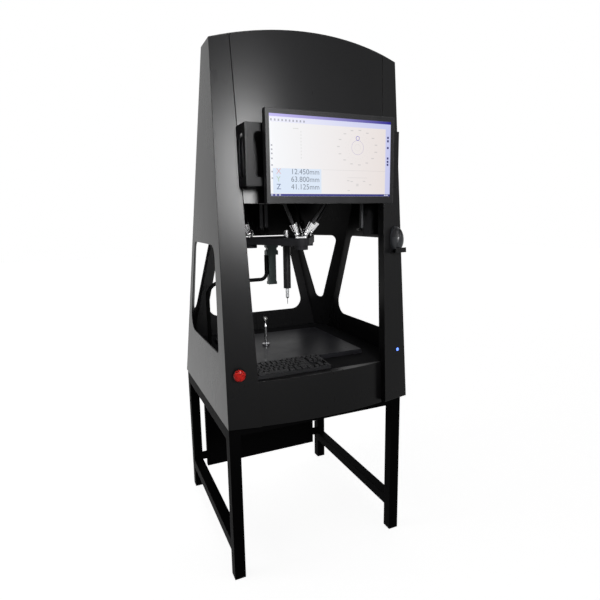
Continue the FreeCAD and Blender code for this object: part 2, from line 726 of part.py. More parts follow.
def sill_tray():
    """Sheet tray round the table; its skirt stands on the base plate."""
    outer = tray_room(TRAY_TOP, 0.0)
    inner = tray_room(TRAY_TOP - TRAY_SHEET, TRAY_SHEET)
    hole = box(-TABLE_HALF - TABLE_GAP, TABLE_HALF + TABLE_GAP, TABLE_FRONT - TABLE_GAP, TABLE_BACK + TABLE_GAP,
               BASE_TOP, TABLE_TOP)
    return outer.cut(inner).cut(hole).removeSplitter()


# ---- columns and carriages -----------------------------------------------------------------------
def crown_plate():
    """Plate near the roof that the three columns hang from."""
    high = CROWN_PLATE_Z + CROWN_PLATE
    room = cover_volume(CROWN_PLATE_Z, high, SKIN + SEAT)
    plate = room.common(box(-SIDE_HALF, SIDE_HALF, CROWN_FRONT, STAND_BACK, CROWN_PLATE_Z, high))
    return plate.cut(rod(CROWN_HOLE, V(0, 0, CROWN_PLATE_Z), V(0, 0, 1), CROWN_PLATE))


def column():
    """Square guide column, hung from the crown plate."""
    half = COLUMN_WIDTH / 2
    return tube_block(-half, half, COLUMN_FACE, COLUMN_FACE + COLUMN_DEPTH, COLUMN_FOOT, CROWN_PLATE_Z,
                      COLUMN_WALL, "Z")


def column_brackets(degrees):
    """Blocks that tie one column to the covers behind it, trimmed to the cover's slope."""
    back = COLUMN_FACE + COLUMN_DEPTH
    room = cover_volume(COLUMN_FOOT, CROWN_PLATE_Z, SKIN + SEAT)
    solids = []
    for z in BRACKET_LEVELS:
        block = box(-BRACKET_WIDTH / 2, BRACKET_WIDTH / 2, back, back + BRACKET_REACH, z, z + BRACKET_TALL)
        solids.append(turned(block, degrees).common(room).Solids[0])
    return solids


def guide_rail():
    """Profiled linear rail on the column's inner face."""
    half = RAIL_WIDTH / 2
    waist = half * 0.78
    low = COLUMN_FACE
    steps = [(half, low), (half, low - RAIL_DEEP * 0.35), (waist, low - RAIL_DEEP * 0.5),
             (half, low - RAIL_DEEP * 0.65), (half, RAIL_FACE)]
    points = [V(x, y, 0) for x, y in steps] + [V(-x, y, 0) for x, y in reversed(steps)]
    rail = Part.Face(Part.makePolygon(points + points[:1])).extrude(V(0, 0, RAIL_LENGTH))
    rail.translate(V(0, 0, COLUMN_FOOT + RAIL_END))
    return rail


def magnet_track():
    """Flat magnet track of the linear motor, beside the rail."""
    low = COLUMN_FOOT + RAIL_END
    return box(TRACK_X, TRACK_X + TRACK_WIDTH, COLUMN_FACE - TRACK_THICK, COLUMN_FACE, low, low + RAIL_LENGTH)


def rail_stops():
    """Rubber stops at both ends of the rail."""
    low = COLUMN_FOOT + RAIL_END
    deep = COLUMN_FACE - BLOCK_FACE
    stops = []
    for z in (low - STOP_TALL, low + RAIL_LENGTH):
        stops.append(box(-RAIL_WIDTH / 2, RAIL_WIDTH / 2, COLUMN_FACE - deep, COLUMN_FACE, z, z + STOP_TALL))
    return stops


def carriage_plate():
    """Machined carriage with the motor coil's housing behind it."""
    plate = box(-PLATE_WIDTH / 2, PLATE_WIDTH / 2, PLATE_FACE, BLOCK_FACE,
                CARRIAGE_Z - PLATE_TALL / 2, CARRIAGE_Z + PLATE_TALL / 2)
    upright = [edge for edge in plate.Edges
               if edge.BoundBox.YLength > PLATE_THICK / 2 and edge.BoundBox.ZLength < PLATE_THICK]
    plate = plate.makeFillet(PLATE_THICK, upright)
    track_face = COLUMN_FACE - TRACK_THICK - RUN
    coil = box(TRACK_X, TRACK_X + TRACK_WIDTH, BLOCK_FACE, track_face,
               CARRIAGE_Z - PLATE_TALL / 3, CARRIAGE_Z + PLATE_TALL / 3)
    return plate.fuse(coil).removeSplitter()


def bearing_blocks():
    """Two runner blocks that straddle the rail."""
    half = RAIL_WIDTH / 2 + RUN
    blocks = []
    for z in (CARRIAGE_Z - BLOCK_PITCH / 2, CARRIAGE_Z + BLOCK_PITCH / 2):
        low = z - BLOCK_TALL / 2
        high = z + BLOCK_TALL / 2
        body = box(-BLOCK_WIDTH / 2, BLOCK_WIDTH / 2, BLOCK_FACE, BLOCK_FACE + BLOCK_DEEP, low, high)
        groove = box(-half, half, RAIL_FACE - RUN, BLOCK_FACE + 2 * BLOCK_DEEP, low, high)
        blocks.append(body.cut(groove))
    return blocks


def crossbar():
    """Bar across the carriage with a ball at each end for the arms."""
    bar = rod(BAR_RADIUS, V(-BALL_HALF, BAR_Y, CARRIAGE_Z), V(1, 0, 0), 2 * BALL_HALF)
    balls = [ball(V(x, BAR_Y, CARRIAGE_Z), BALL_RADIUS, V(1, 0, 0)) for x in (-BALL_HALF, BALL_HALF)]
    clamp = box(-PLATE_WIDTH / 3, PLATE_WIDTH / 3, BAR_Y - BAR_RADIUS, PLATE_FACE,
                CARRIAGE_Z - 2 * BAR_RADIUS, CARRIAGE_Z + 2 * BAR_RADIUS)
    return bar.fuse(balls + [clamp]).removeSplitter()


# ---- platform, arms and probe --------------------------------------------------------------------
def corner_place(index, reach):
    """A place on the line from the axis to one corner of the platform."""
    angle = math.radians(30 + 120 * index)
    return V(reach * math.cos(angle), reach * math.sin(angle), 0)


def platform():
    """Triangular casting with rounded corners, pockets below and a boss under each corner."""
    sharp = PLATFORM_REACH + PLATFORM_ROUND / math.sin(math.radians(30))
    corners = [corner_place(i, sharp) + V(0, 0, PLATFORM_UNDER) for i in range(3)]
    body = rounded_outline(corners, [PLATFORM_ROUND] * 3).extrude(V(0, 0, PLATFORM_THICK))
    under = V(0, 0, PLATFORM_UNDER)
    bosses = [rod(BOSS_RADIUS, corner_place(i, PLATFORM_REACH) + under, V(0, 0, -1), BOSS_DROP) for i in range(3)]
    body = body.fuse(bosses).removeSplitter()
    pockets = [rod(POCKET_RADIUS, turned_point(POCKET_REACH, 90 + 120 * i) + under, V(0, 0, 1), POCKET_DEEP)
               for i in range(3)]
    return body.cut(Part.makeCompound(pockets))


def turned_point(reach, degrees):
    """A level point at a distance and bearing from the probe's axis."""
    angle = math.radians(degrees)
    return V(reach * math.cos(angle), reach * math.sin(angle), 0)


def platform_balls(degrees):
    """The two ball studs on the platform that serve one carriage."""
    solids = []
    for x in (-BALL_HALF, BALL_HALF):
        stud = rod(STUD_RADIUS, V(x, BALL_IN, PLATFORM_TOP), V(0, 0, 1), BALL_RISE)
        stud = stud.fuse(ball(V(x, BALL_IN, BALL_Z), BALL_RADIUS)).removeSplitter()
        solids.append(turned(stud, degrees))
    return solids


def corner_yoke(index):
    """Bar on one platform corner that ties its two ball studs."""
    reach = math.hypot(BALL_HALF, BALL_IN)
    bearing = math.atan2(BALL_IN, BALL_HALF) - math.radians(30)
    middle = reach * math.cos(bearing)
    half = reach * math.sin(bearing)
    top = PLATFORM_TOP + YOKE_TALL
    bar = box(middle - YOKE_WIDTH / 2, middle + YOKE_WIDTH / 2, -half, half, PLATFORM_TOP, top)
    upper = [edge for edge in bar.Edges if edge.BoundBox.ZMin > top - SEAT and edge.BoundBox.YLength > half]
    bar = bar.makeFillet(YOKE_ROUND, upper)
    studs = [rod(STUD_RADIUS, V(middle, y, PLATFORM_TOP), V(0, 0, 1), YOKE_TALL) for y in (-half, half)]
    return turned(bar.cut(studs), 30 + 120 * index)


def arm_line(x):
    """Start, end and direction of one arm, from the platform's ball to the carriage's ball."""
    start = V(x, BALL_IN, BALL_Z)
    end = V(x, BAR_Y, CARRIAGE_Z)
    return start, end, (end - start).normalize()


def arm_tubes(degrees):
    """The two parallel arm tubes of one carriage."""
    solids = []
    inside = FERRULE_START + FERRULE_LENGTH - FERRULE_GRIP
    for x in (-BALL_HALF, BALL_HALF):
        start, end, along = arm_line(x)
        length = (end - start).Length - 2 * inside
        solids.append(turned(rod(ARM_RADIUS, start + along * inside, along, length), degrees))
    return solids


def ferrule(centre, along):
    """Fluted end piece, a cone from the ball to the tube: a socket cups the ball, a bore grips the tube."""
    end = FERRULE_START + FERRULE_LENGTH
    shoulder = end - FERRULE_RIM
    cuts = [(FERRULE_NECK, FERRULE_START), (FERRULE_RADIUS, shoulder), (FERRULE_RADIUS, end - FERRULE_RIM / 2),
            (FERRULE_RADIUS - FERRULE_RIM / 2, end)]
    body = round_column(cuts, V(0, 0, 0))
    slope = (FERRULE_RADIUS - FERRULE_NECK) / (shoulder - FERRULE_START)
    flute_in = FERRULE_NECK + slope * FLUTE_START + FLUTE_RADIUS - FLUTE_DEEP
    flute = rod(FLUTE_RADIUS, V(flute_in, 0, FERRULE_START + FLUTE_START), V(slope, 0, 1), FERRULE_LENGTH)
    flutes = [turned(flute, 360 / FLUTES * i) for i in range(FLUTES)]
    socket = ball(V(0, 0, 0), BALL_RADIUS + BALL_GAP)
    bore = rod(ARM_RADIUS, V(0, 0, end - FERRULE_GRIP), V(0, 0, 1), FERRULE_GRIP)
    body = body.cut(flutes + [socket, bore]).Solids[0]
    return placed(body, FreeCAD.Placement(centre, FreeCAD.Rotation(V(0, 0, 1), along)))


def ferrules(degrees):
    """The four end pieces on the arms of one carriage."""
    solids = []
    for x in (-BALL_HALF, BALL_HALF):
        start, end, along = arm_line(x)
        solids.append(turned(ferrule(start, along), degrees))
        solids.append(turned(ferrule(end, along * -1), degrees))
    return solids


def quill_tube():
    """Tube that carries the probe, with a flange under the platform."""
    cuts = [(QUILL_RADIUS, QUILL_END), (QUILL_RADIUS, PLATFORM_UNDER - QUILL_FLANGE_TALL),
            (QUILL_FLANGE, PLATFORM_UNDER - QUILL_FLANGE_TALL), (QUILL_FLANGE, PLATFORM_UNDER)]
    return round_column(cuts, V(0, 0, 0))


def quill_cap():
    """Bright cap on the platform above the quill."""
    step = CAP_TALL / 6
    cuts = [(CAP_RADIUS * 1.3, PLATFORM_TOP), (CAP_RADIUS * 1.3, PLATFORM_TOP + step),
            (CAP_RADIUS, PLATFORM_TOP + step), (CAP_RADIUS, PLATFORM_TOP + CAP_TALL - 2),
            (CAP_RADIUS - 2, PLATFORM_TOP + CAP_TALL)]
    return round_column(cuts, V(0, 0, 0))


def pivot_height():
    """Height of the stylus pivot, just inside the probe's mouth."""
    return PROBE_END + PIVOT_RADIUS / 4


def probe_body():
    """Touch probe: a stepped barrel with a cup for the stylus carrier."""
    waist = PROBE_RADIUS - 1
    cuts = [(PROBE_RADIUS - 1.5, PROBE_END), (PROBE_RADIUS, PROBE_END + 4), (PROBE_RADIUS, PROBE_END + 16),
            (waist, PROBE_END + 17), (waist, PROBE_END + 20), (PROBE_RADIUS, PROBE_END + 21),
            (PROBE_RADIUS, QUILL_END)]
    cup = ball(V(0, 0, pivot_height()), PIVOT_RADIUS + BALL_GAP)
    return round_column(cuts, V(0, 0, 0)).cut(cup)


def stylus():
    """Stylus on its round carrier, with the measuring ball at its tip."""
    carrier = ball(V(0, 0, pivot_height()), PIVOT_RADIUS)
    cuts = [(TIP_RADIUS / 2, TIP_Z), (STYLUS_RADIUS, TIP_Z + 4 * TIP_RADIUS), (STYLUS_RADIUS, pivot_height())]
    tip = ball(V(0, 0, TIP_Z), TIP_RADIUS)
    return carrier.fuse([round_column(cuts, V(0, 0, 0)), tip]).removeSplitter()


# ---- change rack and reference ball --------------------------------------------------------------
def rack_tube():
    """Bent tube from the tray to the rack, with a round foot flange."""
    start = V(RACK_X, RACK_Y, TRAY_TOP)
    entry = RACK_BEND / 2
    end_x = -RACK_WIDTH / 2 - RACK_TUBE_RADIUS
    high = RACK_RUN_Z
    diagonal = 1 - math.sqrt(0.5)
    path = Part.Wire([
        Part.LineSegment(start, V(RACK_X, RACK_Y, high - RACK_BEND)).toShape(),
        Part.Arc(V(RACK_X, RACK_Y, high - RACK_BEND),
                 V(RACK_X + RACK_BEND * diagonal, RACK_Y, high - RACK_BEND * diagonal),
                 V(RACK_X + RACK_BEND, RACK_Y, high)).toShape(),
        Part.LineSegment(V(RACK_X + RACK_BEND, RACK_Y, high), V(end_x - entry, RACK_Y, high)).toShape(),
        Part.Arc(V(end_x - entry, RACK_Y, high),
                 V(end_x - entry * diagonal, RACK_Y, high + entry * diagonal),
                 V(end_x, RACK_Y, high + entry)).toShape(),
        Part.LineSegment(V(end_x, RACK_Y, high + entry), V(end_x, RACK_Y, RACK_HIGH - RACK_HEAD_TALL)).toShape()])
    ring = Part.Wire(Part.makeCircle(RACK_TUBE_RADIUS, start, V(0, 0, 1)))
    tube = path.makePipeShell([ring], True, False)
    flange = rod(RACK_FOOT_RADIUS, start, V(0, 0, 1), RACK_FOOT_TALL)
    return tube.fuse(flange).removeSplitter()


def rack_column():
    """Upright of the rack, beside the tube's upper end."""
    half = RACK_WIDTH / 2
    deep = RACK_DEPTH / 2
    bar = box(-half, half, RACK_Y - deep, RACK_Y + deep, RACK_LOW + RACK_SHOE_TALL, RACK_HIGH - RACK_HEAD_TALL)
    strip = box(-half + STRIP_THICK, half - STRIP_THICK, RACK_Y - deep - STRIP_THICK, RACK_Y - deep,
                RACK_LOW + RACK_SHOE_TALL, RACK_HIGH - RACK_HEAD_TALL)
    return bar.fuse(strip).removeSplitter()


def rack_modules():
    """Head block with two side ports, and the shoe below the upright."""
    half = RACK_HEAD_WIDTH / 2
    deep = RACK_DEPTH / 2 + STRIP_THICK
    low = RACK_HIGH - RACK_HEAD_TALL
    head = box(-half, half, RACK_Y - deep, RACK_Y + deep, low, RACK_HIGH)
    for x in (-half, half):
        head = head.cut(rod(deep / 2, V(x, RACK_Y - deep, (low + RACK_HIGH) / 2), V(0, 1, 0), 2 * deep))
    shoe = box(-RACK_WIDTH / 2 - STRIP_THICK, RACK_WIDTH / 2 + STRIP_THICK, RACK_Y - deep, RACK_Y + deep,
               RACK_LOW, RACK_LOW + RACK_SHOE_TALL)
    return head, shoe


def reference_stand():
    """Post on the table that carries the reference ball."""
    x_y = V(REFERENCE_X, REFERENCE_Y, 0)
    neck_top = REFERENCE_Z - REFERENCE_RADIUS
    cuts = [(REFERENCE_FOOT, TABLE_TOP), (REFERENCE_FOOT, TABLE_TOP + REFERENCE_FOOT_TALL),
            (REFERENCE_POST, TABLE_TOP + REFERENCE_FOOT_TALL), (REFERENCE_POST, neck_top - 3 * REFERENCE_RADIUS),
            (REFERENCE_NECK, neck_top - 1.5 * REFERENCE_RADIUS), (REFERENCE_NECK, neck_top + SEAT)]
    return round_column(cuts, x_y).cut(reference_ball())


def reference_ball():
    """Ceramic ball of known size."""
    return ball(V(REFERENCE_X, REFERENCE_Y, REFERENCE_Z), REFERENCE_RADIUS)


# ---- screen --------------------------------------------------------------------------------------
def screen_bezel():
    """Front frame of the screen."""
    back = SCREEN_FRONT + BEZEL_DEEP
    frame = box(-SCREEN_HALF, SCREEN_HALF, SCREEN_FRONT, back, SCREEN_LOW, SCREEN_LOW + SCREEN_TALL)
    rim = [edge for edge in frame.Edges if edge.BoundBox.YMax < SCREEN_FRONT + SEAT]
    frame = frame.makeChamfer(GLASS_SET / 2, rim)
    hole = box(-SCREEN_HALF + BEZEL_SIDE, SCREEN_HALF - BEZEL_SIDE, SCREEN_FRONT, back,
               SCREEN_LOW + BEZEL_LOW, SCREEN_LOW + SCREEN_TALL - BEZEL_TOP)
    return frame.cut(hole)


def screen_glass():
    """Display panel set into the bezel."""
    return box(-SCREEN_HALF + BEZEL_SIDE + SEAT, SCREEN_HALF - BEZEL_SIDE - SEAT, SCREEN_FRONT + GLASS_SET,
               SCREEN_FRONT + BEZEL_DEEP, SCREEN_LOW + BEZEL_LOW + SEAT, SCREEN_LOW + SCREEN_TALL - BEZEL_TOP - SEAT)


def screen_shell():
    """Rear housing that narrows towards the pad on the bracket."""
    high = SCREEN_LOW + SCREEN_TALL
    back = SCREEN_FRONT + SCREEN_DEEP
    middle = (SCREEN_LOW + high) / 2

    def outline(y, half, low, top):
        return [V(-half, y, low), V(half, y, low), V(half, y, top), V(-half, y, top)]

    front_y = SCREEN_FRONT + BEZEL_DEEP
    waist_y = (front_y + back) / 2
    rim = hull_between(outline(front_y, SCREEN_HALF, SCREEN_LOW, high), outline(waist_y, SCREEN_HALF, SCREEN_LOW, high))
    shrink = SHELL_SHRINK
    taper = hull_between(outline(waist_y, SCREEN_HALF, SCREEN_LOW, high),
                         outline(back, SCREEN_HALF - shrink, SCREEN_LOW + shrink, high - shrink))
    pad = box(-VESA_PAD / 2, VESA_PAD / 2, back, back + VESA_BOSS, middle - VESA_PAD / 2, middle + VESA_PAD / 2)
    return rim.fuse([taper, pad]).removeSplitter()


def rounded_slot_y(x, y, half, low, high):
    """Cutter of an upright slot through a sheet that faces the front."""
    corners = [V(x - half, y, low), V(x + half, y, low), V(x + half, y, high), V(x - half, y, high)]
    return swept_both_ways(rounded_outline(corners, [FRONT_SLOT_ROUND] * 4), V(0, 1, 0), 3 * BRACKET_SHEET)


def screen_bracket():
    """U bracket: a slotted front sheet and slotted sides that end on the front flanges."""
    front_y = SCREEN_FRONT + SCREEN_DEEP + VESA_BOSS
    front = plane(V(0, front_y, 0), V(1, 0, 0), V(0, 0, 1), V(0, -1, 0))
    right = plane(V(BRACKET_HALF, 0, 0), V(0, 1, 0), V(0, 0, 1), V(1, 0, 0))
    low = level(BRACKET_LOW)
    high = level(BRACKET_HIGH)
    thick = BRACKET_SHEET
    back = (FLANGE[0], FLANGE[1] + SEAT)
    face = slab(front, thick, [plain(low), (right, inset(right, thick)), plain(high),
                               (across(right), inset(across(right), thick))])
    side = slab(right, thick, [plain(low), (front, inset(front, thick)), plain(high), plain(back)])
    side_middle = (front_y + meet(back, right, level((SLOT_LOW + SLOT_HIGH) / 2)).y) / 2
    slot_front = side_middle - SIDE_SLOT / 2
    slot_back = side_middle + SIDE_SLOT / 2
    corners = [V(BRACKET_HALF, slot_front, SLOT_LOW), V(BRACKET_HALF, slot_back, SLOT_LOW),
               V(BRACKET_HALF, slot_back, SLOT_HIGH), V(BRACKET_HALF, slot_front, SLOT_HIGH)]
    side = side.cut(swept_both_ways(rounded_outline(corners, [SIDE_SLOT * 0.49] * 4), V(1, 0, 0), 3 * thick))
    slot_x = BRACKET_HALF - FRONT_SLOT_IN - FRONT_SLOT / 2
    for x in (-slot_x, slot_x):
        face = face.cut(rounded_slot_y(x, front_y, FRONT_SLOT / 2, SLOT_LOW, SLOT_HIGH))
    return face.fuse([side, mirrored(side)]).removeSplitter()


# ---- controls on the flanges ---------------------------------------------------------------------
def flange_place(x, z):
    """Placement on the front flange: local X level, local Y up along the sheet, local Z outwards."""
    flat = FLANGE if x > 0 else across(FLANGE)
    normal = flat[0]
    y = (flat[1] - normal.x * x - normal.z * z) / normal.y
    up = normal.cross(V(0, 0, 1).cross(normal) * -1).normalize()
    if up.z < 0:
        up = up * -1
    rightwards = up.cross(normal).normalize()
    return FreeCAD.Placement(V(x, y, z), FreeCAD.Rotation(rightwards, up, normal, "ZYX"))


def stop_collar():
    """Collar of the emergency stop, with the bore that guides the stem."""
    body = round_column([(COLLAR_RADIUS, 0), (COLLAR_RADIUS, COLLAR_TALL - 2), (COLLAR_RADIUS - 2, COLLAR_TALL)],
                        V(0, 0, 0))
    low = PLUNGER_LIFT - STOP_TRAVEL - SEAT
    return body.cut(rod(PLUNGER_RADIUS + SHAFT_GAP, V(0, 0, low), V(0, 0, 1), COLLAR_TALL))


def stop_plunger():
    """Stem of the emergency stop, from the collar into the head."""
    under = COLLAR_TALL + STOP_TRAVEL + SEAT
    return rod(PLUNGER_RADIUS, V(0, 0, PLUNGER_LIFT), V(0, 0, 1), under + HEAD_TALL / 2 - PLUNGER_LIFT)


def stop_head():
    """Mushroom head that is pressed to stop and turned to release."""
    under = COLLAR_TALL + STOP_TRAVEL + SEAT
    cuts = [(HEAD_RADIUS - 3, under), (HEAD_RADIUS, under + 3), (HEAD_RADIUS, under + HEAD_TALL * 0.45),
            (HEAD_RADIUS - 3, under + HEAD_TALL * 0.8), (HEAD_RADIUS * 0.5, under + HEAD_TALL)]
    head = round_column(cuts, V(0, 0, 0))
    return head.cut(rod(PLUNGER_RADIUS + SHAFT_GAP, V(0, 0, under), V(0, 0, 1), HEAD_TALL / 2 + SEAT))


def status_lamp():
    """Small lamp with its ring."""
    ring = [(LAMP_RADIUS + 2, 0), (LAMP_RADIUS + 2, 1), (LAMP_RADIUS, 1.5), (LAMP_RADIUS * 0.9, LAMP_RADIUS * 0.75),
            (LAMP_RADIUS * 0.4, LAMP_RADIUS)]
    return round_column(ring, V(0, 0, 0))


# ---- mouse, built lying on its back plate: local X level, local Y up, local Z outwards -----------
MOUSE_FLOOR = HOLDER_SHEET + SEAT


def mouse_dome(inside=0.0, lower=0.0):
    """Half an ellipsoid with a flat base, shrunk all round and further lowered on top."""
    matrix = FreeCAD.Matrix()
    matrix.scale(MOUSE_HALF - inside, MOUSE_LONG - inside, MOUSE_DEEP - inside - lower)
    dome = ball(V(0, 0, 0), 1.0).transformGeometry(matrix)
    dome.translate(V(0, 0, MOUSE_FLOOR))
    keep = box(-MOUSE_HALF, MOUSE_HALF, -MOUSE_LONG, MOUSE_LONG, MOUSE_FLOOR, MOUSE_FLOOR + MOUSE_DEEP)
    return dome.common(keep)


def wheel_centre():
    """Centre of the scroll wheel, just under the dome's surface."""
    rise = MOUSE_DEEP * math.sqrt(1 - (WHEEL_V / MOUSE_LONG) ** 2)
    return V(0, WHEEL_V, MOUSE_FLOOR + rise + WHEEL_OUT - WHEEL_RADIUS)


def wheel_slot():
    """Clear space round the scroll wheel."""
    centre = wheel_centre()
    wide = WHEEL_WIDTH / 2 + RUN
    reach = WHEEL_RADIUS + RUN
    return box(-wide, wide, centre.y - reach, centre.y + reach, centre.z - reach, MOUSE_FLOOR + 2 * MOUSE_DEEP)


def button_zone(half):
    """The space over the mouse's front part outside a centre strip of a given half width."""
    low = MOUSE_FLOOR + BUTTON_LOW
    zone = box(-MOUSE_HALF, MOUSE_HALF, BUTTON_SPLIT, MOUSE_LONG, low, 2 * MOUSE_DEEP)
    return zone.cut(box(-half, half, BUTTON_SPLIT, MOUSE_LONG, low, 2 * MOUSE_DEEP))


def mouse_body():
    """Lower shell of the mouse: a deck under the buttons and a centre spine with room for the wheel."""
    room = button_zone(SPINE_HALF)
    sunk = room.copy()
    sunk.translate(V(0, -BUTTON_GAP, -BUTTON_TRAVEL - BUTTON_GAP))
    room = room.fuse(sunk).cut(mouse_dome(BUTTON_SHELL + BUTTON_GAP, BUTTON_TRAVEL))
    centre = wheel_centre()
    axle = rod(WHEEL_SHAFT + SHAFT_GAP, V(-SPINE_HALF, centre.y, centre.z), V(1, 0, 0), 2 * SPINE_HALF)
    return mouse_dome().cut([room, wheel_slot(), axle]).Solids[0]


def mouse_buttons():
    """Left and right button, thin shells on either side of the spine."""
    shell = mouse_dome().cut(mouse_dome(BUTTON_SHELL))
    return shell.common(button_zone(SPINE_HALF + BUTTON_GAP)).Solids


def mouse_wheel():
    """Scroll wheel pressed on its short axle."""
    centre = wheel_centre()
    half = SPINE_HALF - SEAT
    axle = rod(WHEEL_SHAFT, V(-half, centre.y, centre.z), V(1, 0, 0), 2 * half)
    wheel = rod(WHEEL_RADIUS, V(-WHEEL_WIDTH / 2, centre.y, centre.z), V(1, 0, 0), WHEEL_WIDTH)
    return wheel.cut(axle), axle


def mouse_holder():
    """Sheet pocket on the flange: back plate, shelf and front lip."""
    shelf_top = -MOUSE_LONG - SEAT
    shelf_low = shelf_top - HOLDER_SHEET
    share = (shelf_top + HOLDER_LIP) / MOUSE_LONG
    front = MOUSE_FLOOR + MOUSE_DEEP * math.sqrt(1 - share ** 2) + SEAT + HOLDER_SHEET
    back = box(-HOLDER_HALF, HOLDER_HALF, shelf_low, shelf_low + HOLDER_BACK, 0, HOLDER_SHEET)
    shelf = box(-HOLDER_HALF, HOLDER_HALF, shelf_low, shelf_top, 0, front)
    lip = box(-HOLDER_HALF, HOLDER_HALF, shelf_low, shelf_top + HOLDER_LIP, front - HOLDER_SHEET, front)
    return back.fuse([shelf, lip]).removeSplitter()


# ---- keyboard ------------------------------------------------------------------------------------
KEY_SLOPE = math.atan2(KEYBOARD_HIGH_EDGE - KEYBOARD_LOW_EDGE, KEYBOARD_DEEP)


def deck_place():
    """Placement of the keyboard's sloping deck: local X level, local Y up the slope, local Z outwards."""
    corner = V(KEYBOARD_LEFT, KEYBOARD_FRONT, TRAY_TOP + KEYBOARD_LOW_EDGE)
    return FreeCAD.Placement(corner, FreeCAD.Rotation(V(1, 0, 0), math.degrees(KEY_SLOPE)))


def key_field():
    """Size of the field of keys and its margins on the deck."""
    wide = KEY_FIELD_UNITS * KEY_PITCH
    deep = len(KEY_ROWS) * KEY_PITCH
    return wide, deep, (KEYBOARD_LONG - wide) / 2, (KEYBOARD_DEEP - deep) / 2


def key_caps():
    """Every key as a block that narrows to its top; rows run from the back to the front."""
    wide, deep, margin_x, margin_y = key_field()
    low = -KEY_TALL / 2
    caps = []
    for row, units in enumerate(KEY_ROWS):
        y0 = margin_y + deep - (row + 1) * KEY_PITCH + KEY_GAP / 2
        y1 = y0 + KEY_PITCH - KEY_GAP
        x = margin_x
        for unit in units:
            if unit > 0:
                x0 = x + KEY_GAP / 2
                x1 = x + unit * KEY_PITCH - KEY_GAP / 2
                base = [V(x0, y0, low), V(x1, y0, low), V(x1, y1, low), V(x0, y1, low)]
                top = KEY_TOP_SET
                crown = [V(x0 + top, y0 + top, low + KEY_TALL), V(x1 - top, y0 + top, low + KEY_TALL),
                         V(x1 - top, y1 - top / 2, low + KEY_TALL), V(x0 + top, y1 - top / 2, low + KEY_TALL)]
                caps.append(placed(hull_between(base, crown), deck_place()))
            x += abs(unit) * KEY_PITCH
    return caps


def keyboard_case():
    """Wedge case with a recess for the keys."""
    y0 = KEYBOARD_FRONT
    y1 = KEYBOARD_FRONT + KEYBOARD_DEEP
    side = [V(KEYBOARD_LEFT, y0, TRAY_TOP), V(KEYBOARD_LEFT, y1, TRAY_TOP),
            V(KEYBOARD_LEFT, y1, TRAY_TOP + KEYBOARD_HIGH_EDGE), V(KEYBOARD_LEFT, y0, TRAY_TOP + KEYBOARD_LOW_EDGE)]
    case = Part.Face(Part.makePolygon(side + side[:1])).extrude(V(KEYBOARD_LONG, 0, 0))
    wide, deep, margin_x, margin_y = key_field()
    floor = -KEY_TALL / 2 - KEY_TRAVEL - SEAT
    well = box(margin_x - SEAT, margin_x + wide + SEAT, margin_y - SEAT, margin_y + deep + SEAT, floor, KEY_TALL)
    return case.cut(placed(well, deck_place()))


# ---- write every piece ---------------------------------------------------------------------------
def for_each_column(make):
    """The pieces that one maker gives for all three columns."""
    solids = []
    for _, degrees in COLUMN_TURNS:
        solids += make(degrees)
    return solids


def write_stand():
    """Stand and base."""
    save("stand_legs", *legs())
    save("foot_caps", *foot_caps())
    save("stand_top_rails", *top_rails())
    save("stand_low_rails", *low_rails())
    save("modesty_panel", modesty_panel())
    save("base_plate", base_plate())
    save("base_casting", base_casting())
    save("measuring_table", measuring_table())
    save("sill_tray", sill_tray())


def write_covers():
    """Enclosure."""
    panel = side_panel()
    facet = rear_facet()
    save("right_side_panel", panel)
    save("left_side_panel", mirrored(panel))
    save("right_rear_facet", facet)
    save("left_rear_facet", mirrored(facet))
    save("rear_panel", rear_panel())
    save("hood", hood())
    save("roof", roof())
    save("apron", apron())
    save("crown_plate", crown_plate())


def write_mechanism():
    """Columns, carriages, arms, platform and probe."""
    save("guide_columns", *for_each_column(lambda turn: [turned(column(), turn)]))
    save("column_brackets", *for_each_column(column_brackets))
    save("guide_rails", *for_each_column(lambda turn: [turned(guide_rail(), turn)]))
    save("magnet_tracks", *for_each_column(lambda turn: [turned(magnet_track(), turn)]))
    save("rail_stops", *for_each_column(lambda turn: [turned(stop, turn) for stop in rail_stops()]))
    for name, degrees in COLUMN_TURNS:
        save("carriage_%s" % name, turned(carriage_plate(), degrees))
        save("bearings_%s" % name, *[turned(block, degrees) for block in bearing_blocks()])
        save("crossbar_%s" % name, turned(crossbar(), degrees))
    save("platform", platform())
    yokes = [corner_yoke(index) for index in range(3)]
    save("platform_balls", *for_each_column(platform_balls), *yokes)
    save("arm_tubes", *for_each_column(arm_tubes))
    save("arm_ferrules", *for_each_column(ferrules))
    save("quill_tube", quill_tube())
    save("quill_cap", quill_cap())
    save("probe_body", probe_body())
    save("stylus", stylus())


def write_accessories():
    """Change rack, reference ball, screen, controls, keyboard and mouse."""
    save("rack_tube", rack_tube())
    save("rack_column", rack_column())
    save("rack_modules", *rack_modules())
    save("reference_stand", reference_stand())
    save("reference_ball", reference_ball())
    save("screen_bezel", screen_bezel())
    save("screen_glass", screen_glass())
    save("screen_shell", screen_shell())
    save("screen_bracket", screen_bracket())
    stop_place = flange_place(STOP_X, STOP_Z)
    save("stop_collar", placed(stop_collar(), stop_place))
    save("stop_plunger", placed(stop_plunger(), stop_place))
    save("stop_head", placed(stop_head(), stop_place))
    save("status_lamp", placed(status_lamp(), flange_place(LAMP_X, LAMP_Z)))
    mouse_place = flange_place(MOUSE_X, MOUSE_Z)
    save("mouse_holder", placed(mouse_holder(), mouse_place))
    save("mouse_body", placed(mouse_body(), mouse_place))
    save("mouse_buttons", *[placed(button, mouse_place) for button in mouse_buttons()])
    save("mouse_wheel", *[placed(solid, mouse_place) for solid in mouse_wheel()])
    save("keyboard_case", keyboard_case())
    save("key_caps", *key_caps())


os.makedirs("parts", exist_ok=True)
write_stand()
write_covers()
write_mechanism()
write_accessories()
